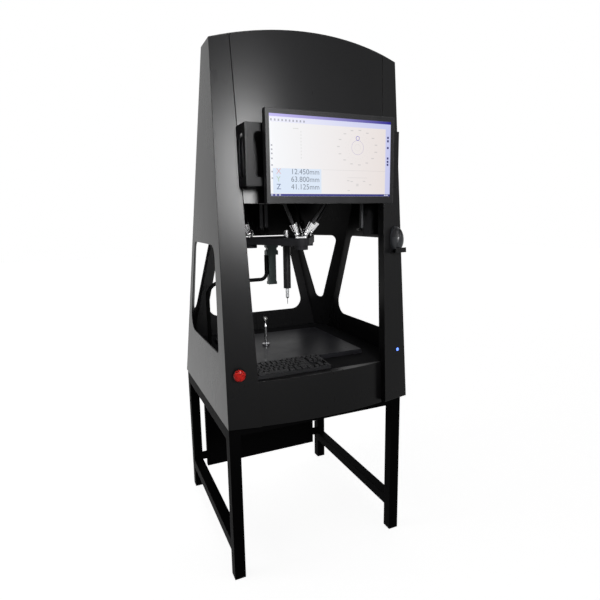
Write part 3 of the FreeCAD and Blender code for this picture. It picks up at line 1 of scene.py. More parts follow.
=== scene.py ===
"""Looks of the floor-standing coordinate measuring machine.

Metres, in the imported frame: +Z up, +Y to the back, +X to the right of someone who stands in
front, origin on the floor under the probe. Finishes come first, then the pieces that the
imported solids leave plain, then the floor, the lamps and the camera.
"""

import math

import bpy
import numpy as np
from mathutils import Matrix, Vector


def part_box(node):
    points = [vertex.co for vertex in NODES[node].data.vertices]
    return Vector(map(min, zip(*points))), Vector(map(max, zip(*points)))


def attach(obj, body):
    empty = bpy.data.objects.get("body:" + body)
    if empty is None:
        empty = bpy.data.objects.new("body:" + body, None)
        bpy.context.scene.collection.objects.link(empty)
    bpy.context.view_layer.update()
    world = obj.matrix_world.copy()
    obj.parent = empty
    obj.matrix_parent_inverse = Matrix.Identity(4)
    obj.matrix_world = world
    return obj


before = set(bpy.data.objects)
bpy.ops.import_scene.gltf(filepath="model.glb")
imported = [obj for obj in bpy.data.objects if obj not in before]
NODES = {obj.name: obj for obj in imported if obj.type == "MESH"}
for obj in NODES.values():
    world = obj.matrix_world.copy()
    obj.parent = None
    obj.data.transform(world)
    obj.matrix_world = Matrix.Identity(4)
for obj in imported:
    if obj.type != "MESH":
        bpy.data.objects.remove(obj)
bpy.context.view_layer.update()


# ---- camera --------------------------------------------------------------------------------
CAMERA_PLACE = (-0.733, -1.774, 1.289)
CAMERA_TURN = -23.98      # degrees about +Z, from looking along +Y
CAMERA_DIP = 10.04        # degrees below level
CAMERA_ROLL = -0.89
CAMERA_LENS = 28.37       # millimetres on a 36 mm sensor
CAMERA_SHIFT = -0.0013

# ---- colours, as the finish reflects light --------------------------------------------------
STAND_BLACK = (0.003, 0.003, 0.0032)
COVER_BLACK = (0.0045, 0.0045, 0.0048)
INNER_BLACK = (0.006, 0.006, 0.0065)
TABLE_GREY = (0.012, 0.012, 0.014)
CASTING_GREY = (0.010, 0.010, 0.011)
BLACKED_STEEL = (0.035, 0.035, 0.037)
ARM_GREY = (0.020, 0.020, 0.021)
QUILL_BLACK = (0.004, 0.004, 0.0042)
STEEL = (0.30, 0.30, 0.31)
CHROME = (0.78, 0.78, 0.79)
MACHINED_ALLOY = (0.42, 0.43, 0.44)
PLASTIC_BLACK = (0.011, 0.011, 0.012)
BEZEL_GREY = (0.006, 0.006, 0.0065)
KEY_BLACK = (0.008, 0.008, 0.009)
RUBBER_BLACK = (0.010, 0.010, 0.010)
STOP_RED = (0.30, 0.006, 0.004)
LAMP_BLUE = (0.05, 0.14, 0.90)
RACK_GREY = (0.030, 0.037, 0.036)
CERAMIC_GREY = (0.16, 0.16, 0.155)
MOUSE_SILVER = (0.014, 0.015, 0.017)
DISPLAY_OFF = (0.004, 0.004, 0.005)
LENS_GLOW = (0.12, 0.25, 1.0)
FLOOR_GREY = (0.80, 0.80, 0.80)
WHITE = (1.0, 1.0, 1.0)

# ---- surface effects -------------------------------------------------------------------------
COARSE_GRAIN = 0.37       # grains per metre of the coarse grain beside the fine one
FINE_SHARE = 0.6          # share of the relief that the fine grain makes
FLECK_FLOOR = 0.52        # relief above which a grain's top turns lighter
FLECK_GAIN = 6.0
STREAKS_PER_METRE = 55.0
STREAK_SQUEEZE = (1.0, 1.0, 0.09)   # draws the streaks out along Z
EDGE_SAMPLES = 6
EDGE_GAIN = 5.0           # how fast the edge mask rises where the normal turns
PATCH_SHARE = 0.8         # share of the wandering roughness that the patches make
PATCH_RANGE = (0.3, 0.7)  # values between which the marks mostly lie
DUST_FLOOR = 0.45
DUST_GAIN = 4.0
LINES_PER_METRE = 900.0   # brushed or ground lines


# ---- shader groups --------------------------------------------------------------------------
def new_group(name, inputs, outputs):
    """An empty shader group with named float, vector or colour sockets."""
    group = bpy.data.node_groups.new(name, "ShaderNodeTree")
    for label, kind, value in inputs:
        socket = group.interface.new_socket(label, in_out="INPUT", socket_type=kind)
        if value is not None:
            socket.default_value = value
    for label, kind in outputs:
        group.interface.new_socket(label, in_out="OUTPUT", socket_type=kind)
    return group, group.nodes.new("NodeGroupInput"), group.nodes.new("NodeGroupOutput")


def math_node(tree, operation, *values, clamp=False):
    """One Math node; a value is a number or an output socket. Returns its result."""
    node = tree.nodes.new("ShaderNodeMath")
    node.operation = operation
    node.use_clamp = clamp
    for place, value in enumerate(values):
        if isinstance(value, (int, float)):
            node.inputs[place].default_value = value
        else:
            tree.links.new(value, node.inputs[place])
    return node.outputs[0]


def noise_node(tree, vector, scale, detail=2.0, roughness=0.5):
    """One Noise Texture; the scale is a number or a socket. Returns its value from 0 to 1."""
    node = tree.nodes.new("ShaderNodeTexNoise")
    node.inputs["Detail"].default_value = detail
    node.inputs["Roughness"].default_value = roughness
    tree.links.new(vector, node.inputs["Vector"])
    if isinstance(scale, (int, float)):
        node.inputs["Scale"].default_value = scale
    else:
        tree.links.new(scale, node.inputs["Scale"])
    return node.outputs["Fac"]


def shared(tree, first, second, share):
    """Weighted sum: the first value by its share, the second by the rest."""
    return math_node(tree, "ADD", math_node(tree, "MULTIPLY", first, share),
                     math_node(tree, "MULTIPLY", second, 1.0 - share))


def make_pebble_group():
    """Pebbled coating: two sizes of grain give a height and a fleck that lightens the tops."""
    group, enter, leave = new_group(
        "pebbled_coat",
        [("Vector", "NodeSocketVector", None), ("Grains per metre", "NodeSocketFloat", 900.0)],
        [("Height", "NodeSocketFloat"), ("Fleck", "NodeSocketFloat")])
    vector = enter.outputs["Vector"]
    size = enter.outputs["Grains per metre"]
    fine = noise_node(group, vector, size, 1.0)
    coarse = noise_node(group, vector, math_node(group, "MULTIPLY", size, COARSE_GRAIN), 1.0)
    height = shared(group, fine, coarse, FINE_SHARE)
    above = math_node(group, "SUBTRACT", height, FLECK_FLOOR)
    fleck = math_node(group, "MULTIPLY", above, FLECK_GAIN, clamp=True)
    group.links.new(height, leave.inputs["Height"])
    group.links.new(fleck, leave.inputs["Fleck"])
    return group


def make_handling_group():
    """Marks of use: broad dull patches, and fine wipe streaks drawn out along one axis."""
    group, enter, leave = new_group(
        "handling_marks",
        [("Vector", "NodeSocketVector", None), ("Patches per metre", "NodeSocketFloat", 4.0)],
        [("Patch", "NodeSocketFloat"), ("Streak", "NodeSocketFloat")])
    vector = enter.outputs["Vector"]
    patch = noise_node(group, vector, enter.outputs["Patches per metre"], 4.0, 0.6)
    stretch = group.nodes.new("ShaderNodeMapping")
    stretch.inputs["Scale"].default_value = STREAK_SQUEEZE
    group.links.new(vector, stretch.inputs["Vector"])
    streak = noise_node(group, stretch.outputs["Vector"], STREAKS_PER_METRE, 3.0, 0.55)
    group.links.new(patch, leave.inputs["Patch"])
    group.links.new(streak, leave.inputs["Streak"])
    return group


def make_edge_group():
    """Rounded edges: a softened normal, and a mask where it parts from the flat faces."""
    group, enter, leave = new_group(
        "rounded_edge", [("Radius", "NodeSocketFloat", 0.001)],
        [("Normal", "NodeSocketVector"), ("Edge", "NodeSocketFloat")])
    bevel = group.nodes.new("ShaderNodeBevel")
    bevel.samples = EDGE_SAMPLES
    flat = group.nodes.new("ShaderNodeNewGeometry")
    dot = group.nodes.new("ShaderNodeVectorMath")
    dot.operation = "DOT_PRODUCT"
    group.links.new(enter.outputs["Radius"], bevel.inputs["Radius"])
    group.links.new(bevel.outputs["Normal"], dot.inputs[0])
    group.links.new(flat.outputs["Normal"], dot.inputs[1])
    part = math_node(group, "SUBTRACT", 1.0, dot.outputs["Value"])
    mask = math_node(group, "MULTIPLY", part, EDGE_GAIN, clamp=True)
    group.links.new(mask, leave.inputs["Edge"])
    group.links.new(bevel.outputs["Normal"], leave.inputs["Normal"])
    return group


PEBBLE = make_pebble_group()
HANDLING = make_handling_group()
ROUNDED = make_edge_group()


# ---- finishes ------------------------------------------------------------------------------
class Finish:
    """One material under construction: its tree, its shader and the object's own coordinates."""

    def __init__(self, name, colour, roughness, metallic=0.0):
        self.material = bpy.data.materials.new(name)
        self.material.use_nodes = True
        self.tree = self.material.node_tree
        self.shader = self.tree.nodes["Principled BSDF"]
        self.colour = colour
        self.roughness = roughness
        self.shader.inputs["Base Color"].default_value = (*colour, 1.0)
        self.shader.inputs["Roughness"].default_value = roughness
        self.shader.inputs["Metallic"].default_value = metallic
        self.where = self.tree.nodes.new("ShaderNodeTexCoord").outputs["Object"]
        self.tint = None
        self.normal = None

    def place(self, group, **values):
        """A shader group in this material, with its numbers set by name."""
        node = self.tree.nodes.new("ShaderNodeGroup")
        node.node_tree = group
        for label, value in values.items():
            node.inputs[label.replace("_", " ")].default_value = value
        if "Vector" in node.inputs:
            self.tree.links.new(self.where, node.inputs["Vector"])
        return node

    def blend(self, mask, colour):
        """Mixes one more colour in where the mask is 1."""
        mix = self.tree.nodes.new("ShaderNodeMix")
        mix.data_type = "RGBA"
        self.tree.links.new(mask, mix.inputs["Factor"])
        if self.tint is None:
            mix.inputs[6].default_value = (*self.colour, 1.0)
        else:
            self.tree.links.new(self.tint, mix.inputs[6])
        mix.inputs[7].default_value = (*colour, 1.0)
        self.tint = mix.outputs[2]
        self.tree.links.new(self.tint, self.shader.inputs["Base Color"])
        return self

    def edges(self, radius, edge_highlight=None, share=0.5):
        """Rounded edges, with a lighter colour along them as a painted highlight."""
        node = self.place(ROUNDED, Radius=radius)
        self.normal = node.outputs["Normal"]
        self.tree.links.new(self.normal, self.shader.inputs["Normal"])
        if edge_highlight is not None:
            # painted highlight: the edge mask lightens the base colour along rounded edges and
            # folds
            self.blend(math_node(self.tree, "MULTIPLY", node.outputs["Edge"], share), edge_highlight)
        return self

    def bump(self, height, depth):
        """Relief of a given depth in metres, over the rounded edges."""
        node = self.tree.nodes.new("ShaderNodeBump")
        node.inputs["Strength"].default_value = 1.0
        node.inputs["Distance"].default_value = depth
        self.tree.links.new(height, node.inputs["Height"])
        if self.normal is not None:
            self.tree.links.new(self.normal, node.inputs["Normal"])
        self.normal = node.outputs["Normal"]
        self.tree.links.new(self.normal, self.shader.inputs["Normal"])
        return self

    def handled(self, patches, spread, dust=None, share=0.3):
        """Roughness that wanders by a spread, and a thin film of dust in patches."""
        node = self.place(HANDLING, Patches_per_metre=patches)
        wander = self.tree.nodes.new("ShaderNodeMapRange")
        wander.inputs["From Min"].default_value = PATCH_RANGE[0]
        wander.inputs["From Max"].default_value = PATCH_RANGE[1]
        wander.inputs["To Min"].default_value = self.roughness - spread
        wander.inputs["To Max"].default_value = self.roughness + spread
        marks = shared(self.tree, node.outputs["Patch"], node.outputs["Streak"], PATCH_SHARE)
        self.tree.links.new(marks, wander.inputs["Value"])
        self.tree.links.new(wander.outputs["Result"], self.shader.inputs["Roughness"])
        if dust is not None:
            film = math_node(self.tree, "SUBTRACT", node.outputs["Patch"], DUST_FLOOR)
            self.blend(math_node(self.tree, "MULTIPLY", film, DUST_GAIN * share, clamp=True), dust)
        return self

    def pebbled(self, grains, depth, fleck, share):
        """Grain relief of a given depth in metres, with lighter tops."""
        node = self.place(PEBBLE, Grains_per_metre=grains)
        self.blend(math_node(self.tree, "MULTIPLY", node.outputs["Fleck"], share), fleck)
        return self.bump(node.outputs["Height"], depth)

    def brushed(self, along, depth):
        """Fine lines drawn out along one axis, as ground or brushed metal has."""
        stretch = self.tree.nodes.new("ShaderNodeMapping")
        stretch.inputs["Scale"].default_value = along
        self.tree.links.new(self.where, stretch.inputs["Vector"])
        lines = noise_node(self.tree, stretch.outputs["Vector"], LINES_PER_METRE, 3.0, 0.6)
        return self.bump(lines, depth)


def lighter(colour, factor):
    """The same hue, brighter by a factor."""
    return tuple(min(1.0, channel * factor) for channel in colour)


def dulled(material, level):
    """A finish whose surface mirrors less."""
    material.node_tree.nodes["Principled BSDF"].inputs["Specular IOR Level"].default_value = level
    return material


def powder_coat(name, colour, roughness, fold, gloss):
    """Textured black powder coat on sheet, with a fold radius on every edge."""
    finish = Finish(name, colour, roughness)
    dulled(finish.material, gloss)
    # lighter colour along every fold: painted highlight of the bend radius
    finish.edges(fold, edge_highlight=lighter(colour, 2.2), share=0.5)
    finish.handled(patches=3.0, spread=0.02, dust=lighter(colour, 1.5), share=0.2)
    finish.pebbled(grains=1100.0, depth=0.000018, fleck=lighter(colour, 1.9), share=0.45)
    return finish.material


def moulded_plastic(name, colour, roughness, grains=2200.0, depth=0.00003):
    """Moulded plastic with a fine spark-eroded texture."""
    finish = Finish(name, colour, roughness)
    finish.edges(radius=0.0006, edge_highlight=lighter(colour, 1.8), share=0.5)
    finish.handled(patches=12.0, spread=0.05, dust=lighter(colour, 1.6), share=0.3)
    finish.pebbled(grains, depth, fleck=lighter(colour, 1.6), share=0.3)
    return finish.material


def bare_metal(name, colour, roughness, along, depth, edge=0.0004):
    """Machined or ground metal with lines along one axis."""
    finish = Finish(name, colour, roughness, metallic=1.0)
    # lighter colour along the machined edges: painted highlight
    finish.edges(edge, edge_highlight=lighter(colour, 1.25), share=0.6)
    finish.handled(patches=20.0, spread=0.05, dust=lighter(colour, 0.75), share=0.3)
    finish.brushed(along, depth)
    return finish.material


def cast_paint():
    """Painted casting: a slightly lumpy satin skin."""
    finish = Finish("casting_paint", CASTING_GREY, 0.48)
    finish.edges(radius=0.0015, edge_highlight=lighter(CASTING_GREY, 2.0), share=0.5)
    finish.handled(patches=9.0, spread=0.07, dust=lighter(CASTING_GREY, 1.6), share=0.3)
    finish.pebbled(grains=420.0, depth=0.0003, fleck=lighter(CASTING_GREY, 1.6), share=0.4)
    return finish.material


def table_finish():
    """Hard anodised plate: fine ground lines under a satin film."""
    finish = Finish("table_plate", TABLE_GREY, 0.34)
    finish.edges(radius=0.0008, edge_highlight=lighter(TABLE_GREY, 2.5), share=0.6)
    finish.handled(patches=7.0, spread=0.07, dust=lighter(TABLE_GREY, 1.5), share=0.35)
    finish.brushed(along=(1.0, 0.05, 1.0), depth=0.00002)
    return finish.material


def carbon_tube(name, colour, coat):
    """Wound fibre tube under clear resin: crossing bands along the tube."""
    finish = Finish(name, colour, 0.40)
    bands = finish.tree.nodes.new("ShaderNodeTexWave")
    bands.wave_type = "BANDS"
    bands.bands_direction = "DIAGONAL"
    bands.inputs["Scale"].default_value = 160.0
    bands.inputs["Distortion"].default_value = 1.5
    finish.tree.links.new(finish.where, bands.inputs["Vector"])
    finish.edges(radius=0.0004)
    half = math_node(finish.tree, "MULTIPLY", bands.outputs["Fac"], 0.5)
    finish.blend(half, lighter(colour, 2.0))
    finish.handled(patches=15.0, spread=0.06)
    finish.shader.inputs["Coat Weight"].default_value = coat
    finish.shader.inputs["Coat Roughness"].default_value = 0.12
    finish.bump(bands.outputs["Fac"], depth=0.00004)
    return finish.material


def rubber():
    """Matt rubber with a dusty bloom."""
    finish = Finish("rubber_black", RUBBER_BLACK, 0.8)
    finish.edges(radius=0.0005)
    finish.handled(patches=25.0, spread=0.08, dust=lighter(RUBBER_BLACK, 3.0), share=0.4)
    finish.pebbled(grains=1500.0, depth=0.00008, fleck=lighter(RUBBER_BLACK, 2.0), share=0.4)
    return finish.material


def stop_red():
    """Glossy red moulding of the stop button."""
    finish = Finish("stop_red", STOP_RED, 0.28)
    finish.edges(radius=0.0008, edge_highlight=lighter(STOP_RED, 1.3), share=0.4)
    finish.handled(patches=60.0, spread=0.06, dust=lighter(STOP_RED, 1.25), share=0.3)
    finish.pebbled(grains=1800.0, depth=0.00002, fleck=lighter(STOP_RED, 1.2), share=0.3)
    finish.shader.inputs["Coat Weight"].default_value = 0.04
    finish.shader.inputs["Coat Roughness"].default_value = 0.15
    return finish.material


def lamp_lens():
    """Lit blue lens."""
    finish = Finish("lamp_lens", LAMP_BLUE, 0.2)
    finish.edges(radius=0.0003)
    finish.handled(patches=90.0, spread=0.05)
    finish.shader.inputs["Emission Color"].default_value = (*LENS_GLOW, 1.0)
    finish.shader.inputs["Emission Strength"].default_value = 2.0
    return finish.material


def ceramic():
    """Polished ceramic ball."""
    finish = Finish("ceramic_grey", CERAMIC_GREY, 0.16)
    finish.handled(patches=120.0, spread=0.04)
    finish.pebbled(grains=900.0, depth=0.000004, fleck=lighter(CERAMIC_GREY, 1.06), share=0.5)
    finish.shader.inputs["Coat Weight"].default_value = 0.5
    return finish.material


def lit(name, left, right):
    """Light of the display: one colour runs into another from left to right, over black."""
    finish = Finish(name, DISPLAY_OFF, 0.22)
    finish.handled(patches=9.0, spread=0.04)
    low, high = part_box("screen_glass")
    across = finish.tree.nodes.new("ShaderNodeMapRange")
    across.inputs["From Min"].default_value = low[0]
    across.inputs["From Max"].default_value = high[0]
    place = finish.tree.nodes.new("ShaderNodeSeparateXYZ")
    finish.tree.links.new(finish.where, place.inputs[0])
    finish.tree.links.new(place.outputs["X"], across.inputs["Value"])
    mix = finish.tree.nodes.new("ShaderNodeMix")
    mix.data_type = "RGBA"
    mix.inputs[6].default_value = (*left, 1.0)
    mix.inputs[7].default_value = (*right, 1.0)
    finish.tree.links.new(across.outputs["Result"], mix.inputs["Factor"])
    finish.tree.links.new(mix.outputs[2], finish.shader.inputs["Emission Color"])
    finish.shader.inputs["Emission Strength"].default_value = 1.0
    return dulled(finish.material, 0.1)


UPRIGHT = (1.0, 1.0, 0.03)       # ground lines that run up the piece
TURNED = (1.0, 1.0, 0.2)         # short lines left by turning
MILLED = (1.0, 0.2, 0.05)
DRAWN = (1.0, 1.0, 0.05)

COVER = powder_coat("cover_coat", COVER_BLACK, roughness=0.28, fold=0.0022, gloss=0.10)
STAND = powder_coat("stand_coat", STAND_BLACK, roughness=0.50, fold=0.0025, gloss=0.008)
INNER = powder_coat("inner_coat", INNER_BLACK, roughness=0.60, fold=0.0010, gloss=0.01)
TABLE = dulled(table_finish(), 0.05)
CASTING = dulled(cast_paint(), 0.02)
BLACKED = bare_metal("blackened_steel", BLACKED_STEEL, 0.40, UPRIGHT, depth=0.00002)
STEELY = bare_metal("ground_steel", STEEL, 0.26, UPRIGHT, depth=0.00002)
BRIGHT = bare_metal("bright_chrome", CHROME, 0.14, TURNED, depth=0.000004)
MACHINED = bare_metal("machined_alloy", MACHINED_ALLOY, 0.33, MILLED, depth=0.00002)
RACK = bare_metal("rack_alloy", RACK_GREY, 0.42, DRAWN, depth=0.00002)
BLACK_PLASTIC = dulled(moulded_plastic("black_plastic", PLASTIC_BLACK, 0.50), 0.15)
BEZEL = dulled(moulded_plastic("bezel_plastic", BEZEL_GREY, 0.36, 1600.0, 0.00002), 0.15)
KEY = dulled(moulded_plastic("key_plastic", KEY_BLACK, 0.46), 0.12)
MOUSE = dulled(moulded_plastic("mouse_silver", MOUSE_SILVER, 0.30, 2600.0, 0.00001), 0.3)
ARM = dulled(carbon_tube("arm_tube", ARM_GREY, coat=0.02), 0.10)
QUILL = dulled(carbon_tube("quill_tube", QUILL_BLACK, coat=0.03), 0.08)
RUBBER = dulled(rubber(), 0.2)
RED = dulled(stop_red(), 0.12)
LENS = lamp_lens()
CERAMIC = ceramic()
SCREEN = lit("screen_ground", (0.90, 0.91, 0.93), (0.80, 0.73, 0.70))

NODE_FINISH = {
    COVER: ("left_side_panel", "right_side_panel", "left_rear_facet", "right_rear_facet",
            "rear_panel", "hood", "roof", "apron", "screen_bracket", "mouse_holder"),
    STAND: ("stand_legs", "stand_top_rails", "stand_low_rails", "modesty_panel", "base_plate",
            "rack_tube"),
    INNER: ("sill_tray", "crown_plate", "guide_columns", "column_brackets"),
    TABLE: ("measuring_table",),
    CASTING: ("base_casting", "platform"),
    BLACKED: ("guide_rails", "magnet_tracks", "bearings_rear", "bearings_right",
              "bearings_left", "carriage_rear", "carriage_right", "carriage_left"),
    STEELY: ("stylus", "stop_plunger", "reference_stand"),
    BRIGHT: ("platform_balls", "arm_ferrules", "quill_cap", "crossbar_rear", "crossbar_right",
             "crossbar_left"),
    MACHINED: ("probe_body",),
    RACK: ("rack_column", "rack_modules"),
    BLACK_PLASTIC: ("foot_caps", "stop_collar", "keyboard_case", "mouse_buttons"),
    BEZEL: ("screen_bezel", "screen_shell"),
    KEY: ("key_caps",),
    ARM: ("arm_tubes",),
    QUILL: ("quill_tube",),
    RUBBER: ("rail_stops", "mouse_wheel"),
    RED: ("stop_head",),
    LENS: ("status_lamp",),
    CERAMIC: ("reference_ball",),
    MOUSE: ("mouse_body",),
    SCREEN: ("screen_glass",),
}


def dress_nodes():
    """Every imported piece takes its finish."""
    for finish, names in NODE_FINISH.items():
        for name in names:
            mesh = NODES[name].data
            mesh.materials.clear()
            mesh.materials.append(finish)


dress_nodes()


# ---- picture on the display ------------------------------------------------------------------
# Places are shares of the display's width and height from its lower left corner; sizes of
# rings, blots and letters are metres. A higher step lies further in front.
LIFT = 0.00015            # distance from one step to the next
LINE = 0.0009
HAIR = 0.0005

TITLE_LOW = 0.965         # lower edge of the title bar
BAND_LOW = 0.90           # lower edge of the tool band
SIDE_LEFT = 0.955         # left edge of the side band
TASK_TOP = 0.028          # upper edge of the task bar
SIDE_LOW = 0.03           # the side band ends just over the task bar

READOUT_PANEL = (0.02, 0.40, 0.035, 0.345)   # left, right, low, high
READOUT_RIGHT = 0.385     # right edge of the digits
AXIS_LEFT = 0.045         # left edge of the axis letters
LETTER_SIZE = 0.023
READOUT = (("X", "12.450mm", 0.275), ("Y", "63.800mm", 0.18), ("Z", "41.125mm", 0.085))

DIAL = (0.706, 0.64)      # centre of the measured circle
DIAL_LABELS = 15
DIAL_REACH = (0.165, 0.225)   # how far the labels stand from the centre
SECTION_LABELS = ((0.625, 0.205), (0.655, 0.195), (0.705, 0.16), (0.705, 0.14),
                  (0.765, 0.20), (0.82, 0.155), (0.63, 0.075))
TOOL_ROW = (0.015, 0.265, 10)             # first, last and number of the tool marks
LEFT_MARKS = (0.62, 0.57, 0.52, 0.46, 0.38, 0.30, 0.22)
RIGHT_MARKS = (0.79, 0.745, 0.655, 0.515, 0.47, 0.43)
TASK_MARKS = (0.01, 0.04, 0.07, 0.955, 0.975)


def put_in_scene(name, data):
    """A new object at the origin that holds some data."""
    thing = bpy.data.objects.new(name, data)
    bpy.context.scene.collection.objects.link(thing)
    return thing


def letters(words, size, align):
    """Flat outlines of some words: one array of (right, up) points for each face."""
    curve = bpy.data.curves.new("words", "FONT")
    curve.body = words
    curve.size = size
    curve.align_x = align
    curve.resolution_u = 3
    holder = put_in_scene("words", curve)
    solved = holder.evaluated_get(bpy.context.evaluated_depsgraph_get())
    mesh = bpy.data.meshes.new_from_object(solved)
    places = np.empty(3 * len(mesh.vertices), dtype=np.float32)
    mesh.vertices.foreach_get("co", places)
    places = places.reshape(-1, 3)[:, :2].astype(float)
    outlines = [places[list(face.vertices)] for face in mesh.polygons]
    bpy.data.objects.remove(holder)
    bpy.data.curves.remove(curve)
    bpy.data.meshes.remove(mesh)
    return outlines


def rectangle(left, right, low, high):
    """Corners of an upright rectangle, counter-clockwise for someone in front of it."""
    return np.array([(left, low), (right, low), (right, high), (left, high)])


class Layer:
    """Flat shapes of one light in front of the display."""

    def __init__(self, name, step, left, right=None):
        self.name = name
        self.step = step
        self.material = lit(name, left, right or left)
        self.outlines = []
        low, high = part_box("screen_glass")
        self.corner = low
        self.size = np.array((high[0] - low[0], high[2] - low[2]))

    def panel(self, left, right, low, high):
        """A rectangle between shares."""
        self.outlines.append(rectangle(left, right, low, high) * self.size)

    def blot(self, across, up, wide, tall):
        """A small rectangle of a size in metres round a place."""
        middle = np.array((across, up)) * self.size
        around = rectangle(-wide / 2, wide / 2, -tall / 2, tall / 2)
        self.outlines.append(middle + around)

    def ring(self, across, up, radius, line, parts=64, gaps=1):
        """A circle: centre + r (cos t, sin t) for two radii, with a face between two turns t;
        of every so many faces only the first is kept."""
        turns = np.linspace(0.0, 2 * math.pi, parts + 1)
        circle = np.column_stack((np.cos(turns), np.sin(turns)))
        middle = np.array((across, up)) * self.size
        outer = middle + circle * radius
        inner = middle + circle * (radius - line)
        faces = np.stack((outer[:-1], outer[1:], inner[1:], inner[:-1]), axis=1)
        self.outlines += list(faces[::gaps])

    def words(self, text, across, up, size, align="LEFT"):
        """A line of text that starts or ends at a place."""
        start = np.array((across, up)) * self.size
        self.outlines += [start + outline for outline in letters(text, size, align)]

    def build(self):
        """The layer as one thin mesh on the machine: (right, up) turns into x and z."""
        flat = np.concatenate(self.outlines)
        depth = np.full(len(flat), self.corner[1] - self.step * LIFT)
        points = np.column_stack((self.corner[0] + flat[:, 0], depth, self.corner[2] + flat[:, 1]))
        ends = np.cumsum([len(outline) for outline in self.outlines])
        faces = [face.tolist() for face in np.split(np.arange(len(flat)), ends[:-1])]
        mesh = bpy.data.meshes.new(self.name)
        mesh.from_pydata(points.tolist(), [], faces)
        mesh.materials.append(self.material)
        piece = put_in_scene(self.name, mesh)
        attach(piece, "machine")
        return piece


def display_bars():
    """Title bar, tool band, side band, readout panel and task bar."""
    band = Layer("display_band", 1, (0.86, 0.86, 0.95), (0.56, 0.58, 0.84))
    band.panel(0.0, 1.0, BAND_LOW, TITLE_LOW)
    band.panel(SIDE_LEFT, 1.0, SIDE_LOW, BAND_LOW)
    band.build()
    title = Layer("display_title", 2, (0.55, 0.50, 0.90), (0.010, 0.006, 0.26))
    title.panel(0.0, 1.0, TITLE_LOW, 1.0)
    title.build()
    panel = Layer("display_readout", 1, (0.70, 0.79, 0.92), (0.72, 0.80, 0.90))
    panel.panel(*READOUT_PANEL)
    panel.build()
    task = Layer("display_task_bar", 2, (0.05, 0.05, 0.26), (0.025, 0.03, 0.20))
    task.panel(0.0, 1.0, 0.0, TASK_TOP)
    task.build()


def display_readout():
    """Three axis letters and their lengths."""
    tints = ((0.72, 0.45, 0.46), (0.46, 0.60, 0.46), (0.13, 0.17, 0.30))
    digits = Layer("display_digits", 3, (0.20, 0.23, 0.28))
    for (axis, length, up), tint in zip(READOUT, tints):
        letter = Layer("display_axis_%s" % axis.lower(), 3, tint)
        letter.words(axis, AXIS_LEFT, up, LETTER_SIZE)
        letter.build()
        digits.words(length, READOUT_RIGHT, up, LETTER_SIZE, "RIGHT")
    digits.build()


def display_drawing():
    """Measured circle with its marks, a section below it and a faint part in the left pane."""
    blue = Layer("display_blue", 4, (0.10, 0.07, 0.52))
    blue.ring(DIAL[0], DIAL[1] + 0.12, radius=0.0068, line=0.0015)
    blue.build()
    lilac = Layer("display_lilac", 3, (0.42, 0.38, 0.58))
    lilac.ring(*DIAL, radius=0.0225, line=LINE)
    lilac.build()
    faint = Layer("display_faint", 2, (0.72, 0.74, 0.72), (0.58, 0.54, 0.54))
    faint.ring(*DIAL, radius=0.0105, line=HAIR)
    faint.ring(*DIAL, radius=0.036, line=0.0006, parts=72, gaps=3)
    faint.ring(*DIAL, radius=0.046, line=HAIR, parts=90, gaps=5)
    for turn in np.linspace(0.0, 2 * math.pi, DIAL_LABELS, endpoint=False) + 0.2:
        across = DIAL[0] + DIAL_REACH[0] * math.cos(turn)
        up = DIAL[1] + DIAL_REACH[1] * math.sin(turn)
        faint.blot(across, up, wide=0.010, tall=0.0030)
    faint.blot(0.705, 0.245, wide=0.074, tall=LINE)
    for across, up in SECTION_LABELS:
        faint.blot(across, up, wide=0.009, tall=0.0026)
    for up in np.linspace(0.48, 0.80, 9):
        faint.blot(0.24, up, wide=0.0022, tall=0.0045)
    faint.blot(0.20, 0.835, wide=0.018, tall=0.0022)
    faint.panel(0.41, SIDE_LEFT, 0.338, 0.341)
    faint.build()


def display_icons():
    """Tool marks along the top, at both sides and on the task bar."""
    grey = Layer("display_grey", 3, (0.46, 0.47, 0.52), (0.25, 0.26, 0.42))
    for across in np.linspace(*TOOL_ROW):
        grey.blot(across, 0.925, wide=0.0052, tall=0.0060)
    for up in LEFT_MARKS:
        grey.blot(0.015, up, wide=0.0055, tall=0.0045)
    grey.build()
    dark = Layer("display_dark", 3, (0.04, 0.04, 0.16))
    for up in RIGHT_MARKS:
        dark.blot(0.976, up, wide=0.0068, tall=0.0068)
    dark.build()
    pale = Layer("display_pale", 3, (0.75, 0.77, 0.92))
    for across in TASK_MARKS:
        pale.blot(across, 0.014, wide=0.006, tall=0.003)
    pale.build()


display_bars()
display_readout()
display_drawing()
display_icons()


# ---- floor, lamps, world ---------------------------------------------------------------------
FLOOR_SIZE = 30.0
FLOOR_GLOW = 0.90         # strength of the floor's own light, for what looks at it
SOFT_LIGHT = 0.06         # strength of the even light from all sides
KEY_SPREAD = 50.0         # degrees over which the front lamp's light spreads
SENSOR = 36.0             # millimetres


def white_when_seen(tree, lighting, seen_as):
    """One shader for what the camera, a mirror or a glass sees, another for all other light."""
    light = tree.nodes.new("ShaderNodeLightPath")
    seen = math_node(tree, "ADD", light.outputs["Is Camera Ray"],
                     light.outputs["Is Glossy Ray"], clamp=True)
    seen = math_node(tree, "ADD", seen, light.outputs["Is Transmission Ray"], clamp=True)
    mix = tree.nodes.new("ShaderNodeMixShader")
    tree.links.new(seen, mix.inputs[0])
    tree.links.new(lighting, mix.inputs[1])
    tree.links.new(seen_as, mix.inputs[2])
    return mix.outputs[0]


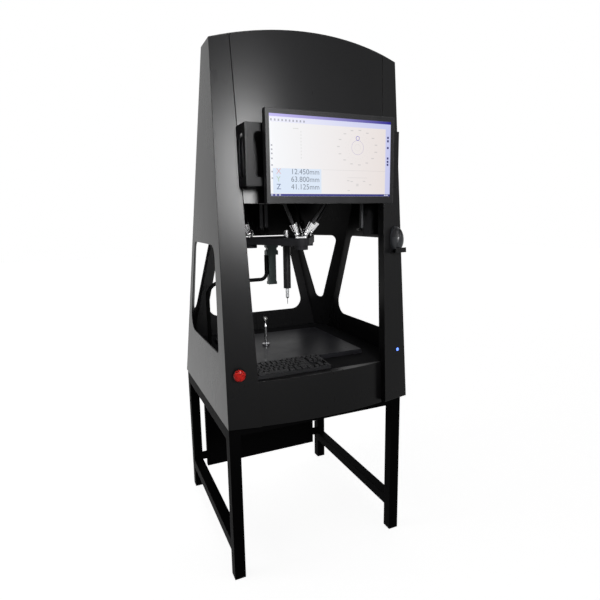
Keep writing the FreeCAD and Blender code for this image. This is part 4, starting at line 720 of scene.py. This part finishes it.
def make_floor():
    """A pale level floor that keeps a soft shadow."""
    half = FLOOR_SIZE / 2
    mesh = bpy.data.meshes.new("floor")
    corners_xy = rectangle(-half, half, -half, half)
    points = np.column_stack((corners_xy, np.zeros(len(corners_xy))))
    mesh.from_pydata(points.tolist(), [], [(0, 1, 2, 3)])
    floor = put_in_scene("floor", mesh)
    material = bpy.data.materials.new("floor_white")
    material.use_nodes = True
    tree = material.node_tree
    shader = tree.nodes["Principled BSDF"]
    shader.inputs["Base Color"].default_value = (*FLOOR_GREY, 1.0)
    shader.inputs["Roughness"].default_value = 0.9
    glow = tree.nodes.new("ShaderNodeEmission")
    glow.inputs["Strength"].default_value = FLOOR_GLOW
    both = tree.nodes.new("ShaderNodeAddShader")
    tree.links.new(shader.outputs["BSDF"], both.inputs[0])
    tree.links.new(glow.outputs["Emission"], both.inputs[1])
    result = white_when_seen(tree, shader.outputs["BSDF"], both.outputs[0])
    tree.links.new(result, tree.nodes["Material Output"].inputs["Surface"])
    mesh.materials.append(material)


def make_world():
    """Soft even light, white where it is looked at."""
    world = bpy.data.worlds.new("studio")
    bpy.context.scene.world = world
    world.use_nodes = True
    tree = world.node_tree
    soft = tree.nodes["Background"]
    soft.inputs["Color"].default_value = (*WHITE, 1.0)
    soft.inputs["Strength"].default_value = SOFT_LIGHT
    white = tree.nodes.new("ShaderNodeBackground")
    white.inputs["Color"].default_value = (*WHITE, 1.0)
    white.inputs["Strength"].default_value = 1.0
    result = white_when_seen(tree, soft.outputs["Background"], white.outputs["Background"])
    tree.links.new(result, tree.nodes["World Output"].inputs["Surface"])


def make_lamp(name, place, target, size, power):
    """One soft box that faces a point."""
    data = bpy.data.lights.new(name, "AREA")
    data.shape = "RECTANGLE"
    data.size = size[0]
    data.size_y = size[1]
    data.energy = power
    lamp = put_in_scene(name, data)
    lamp.location = place
    aim = Vector(target) - Vector(place)
    lamp.rotation_euler = aim.to_track_quat("-Z", "Y").to_euler()
    return lamp


def make_lamps():
    """A narrow soft box in front of the display, a large one at the left and one above."""
    key = make_lamp("key_box", place=(-0.22, -2.3, 1.9), target=(-0.24, -0.3, 1.50),
                    size=(0.6, 0.8), power=13.0)
    key.data.spread = math.radians(KEY_SPREAD)
    make_lamp("left_box", place=(-3.2, 0.4, 1.7), target=(-0.3, 0.0, 1.3),
              size=(1.4, 1.8), power=9.0)
    make_lamp("top_box", place=(0.2, -0.9, 3.6), target=(0.0, -0.1, 1.0),
              size=(1.6, 1.6), power=5.0)


def make_camera():
    """The camera: turned about +Z, dipped, then rolled about its own axis."""
    data = bpy.data.cameras.new("camera")
    data.sensor_width = SENSOR
    data.lens = CAMERA_LENS
    data.shift_y = CAMERA_SHIFT
    camera = put_in_scene("camera", data)
    turn = Matrix.Rotation(math.radians(CAMERA_TURN), 4, "Z")
    dip = Matrix.Rotation(math.radians(90.0 - CAMERA_DIP), 4, "X")
    roll = Matrix.Rotation(math.radians(CAMERA_ROLL), 4, "Z")
    camera.matrix_world = Matrix.Translation(CAMERA_PLACE) @ turn @ dip @ roll
    bpy.context.scene.camera = camera


make_floor()
make_world()
make_lamps()
make_camera()
bpy.context.scene.view_settings.view_transform = "Standard"
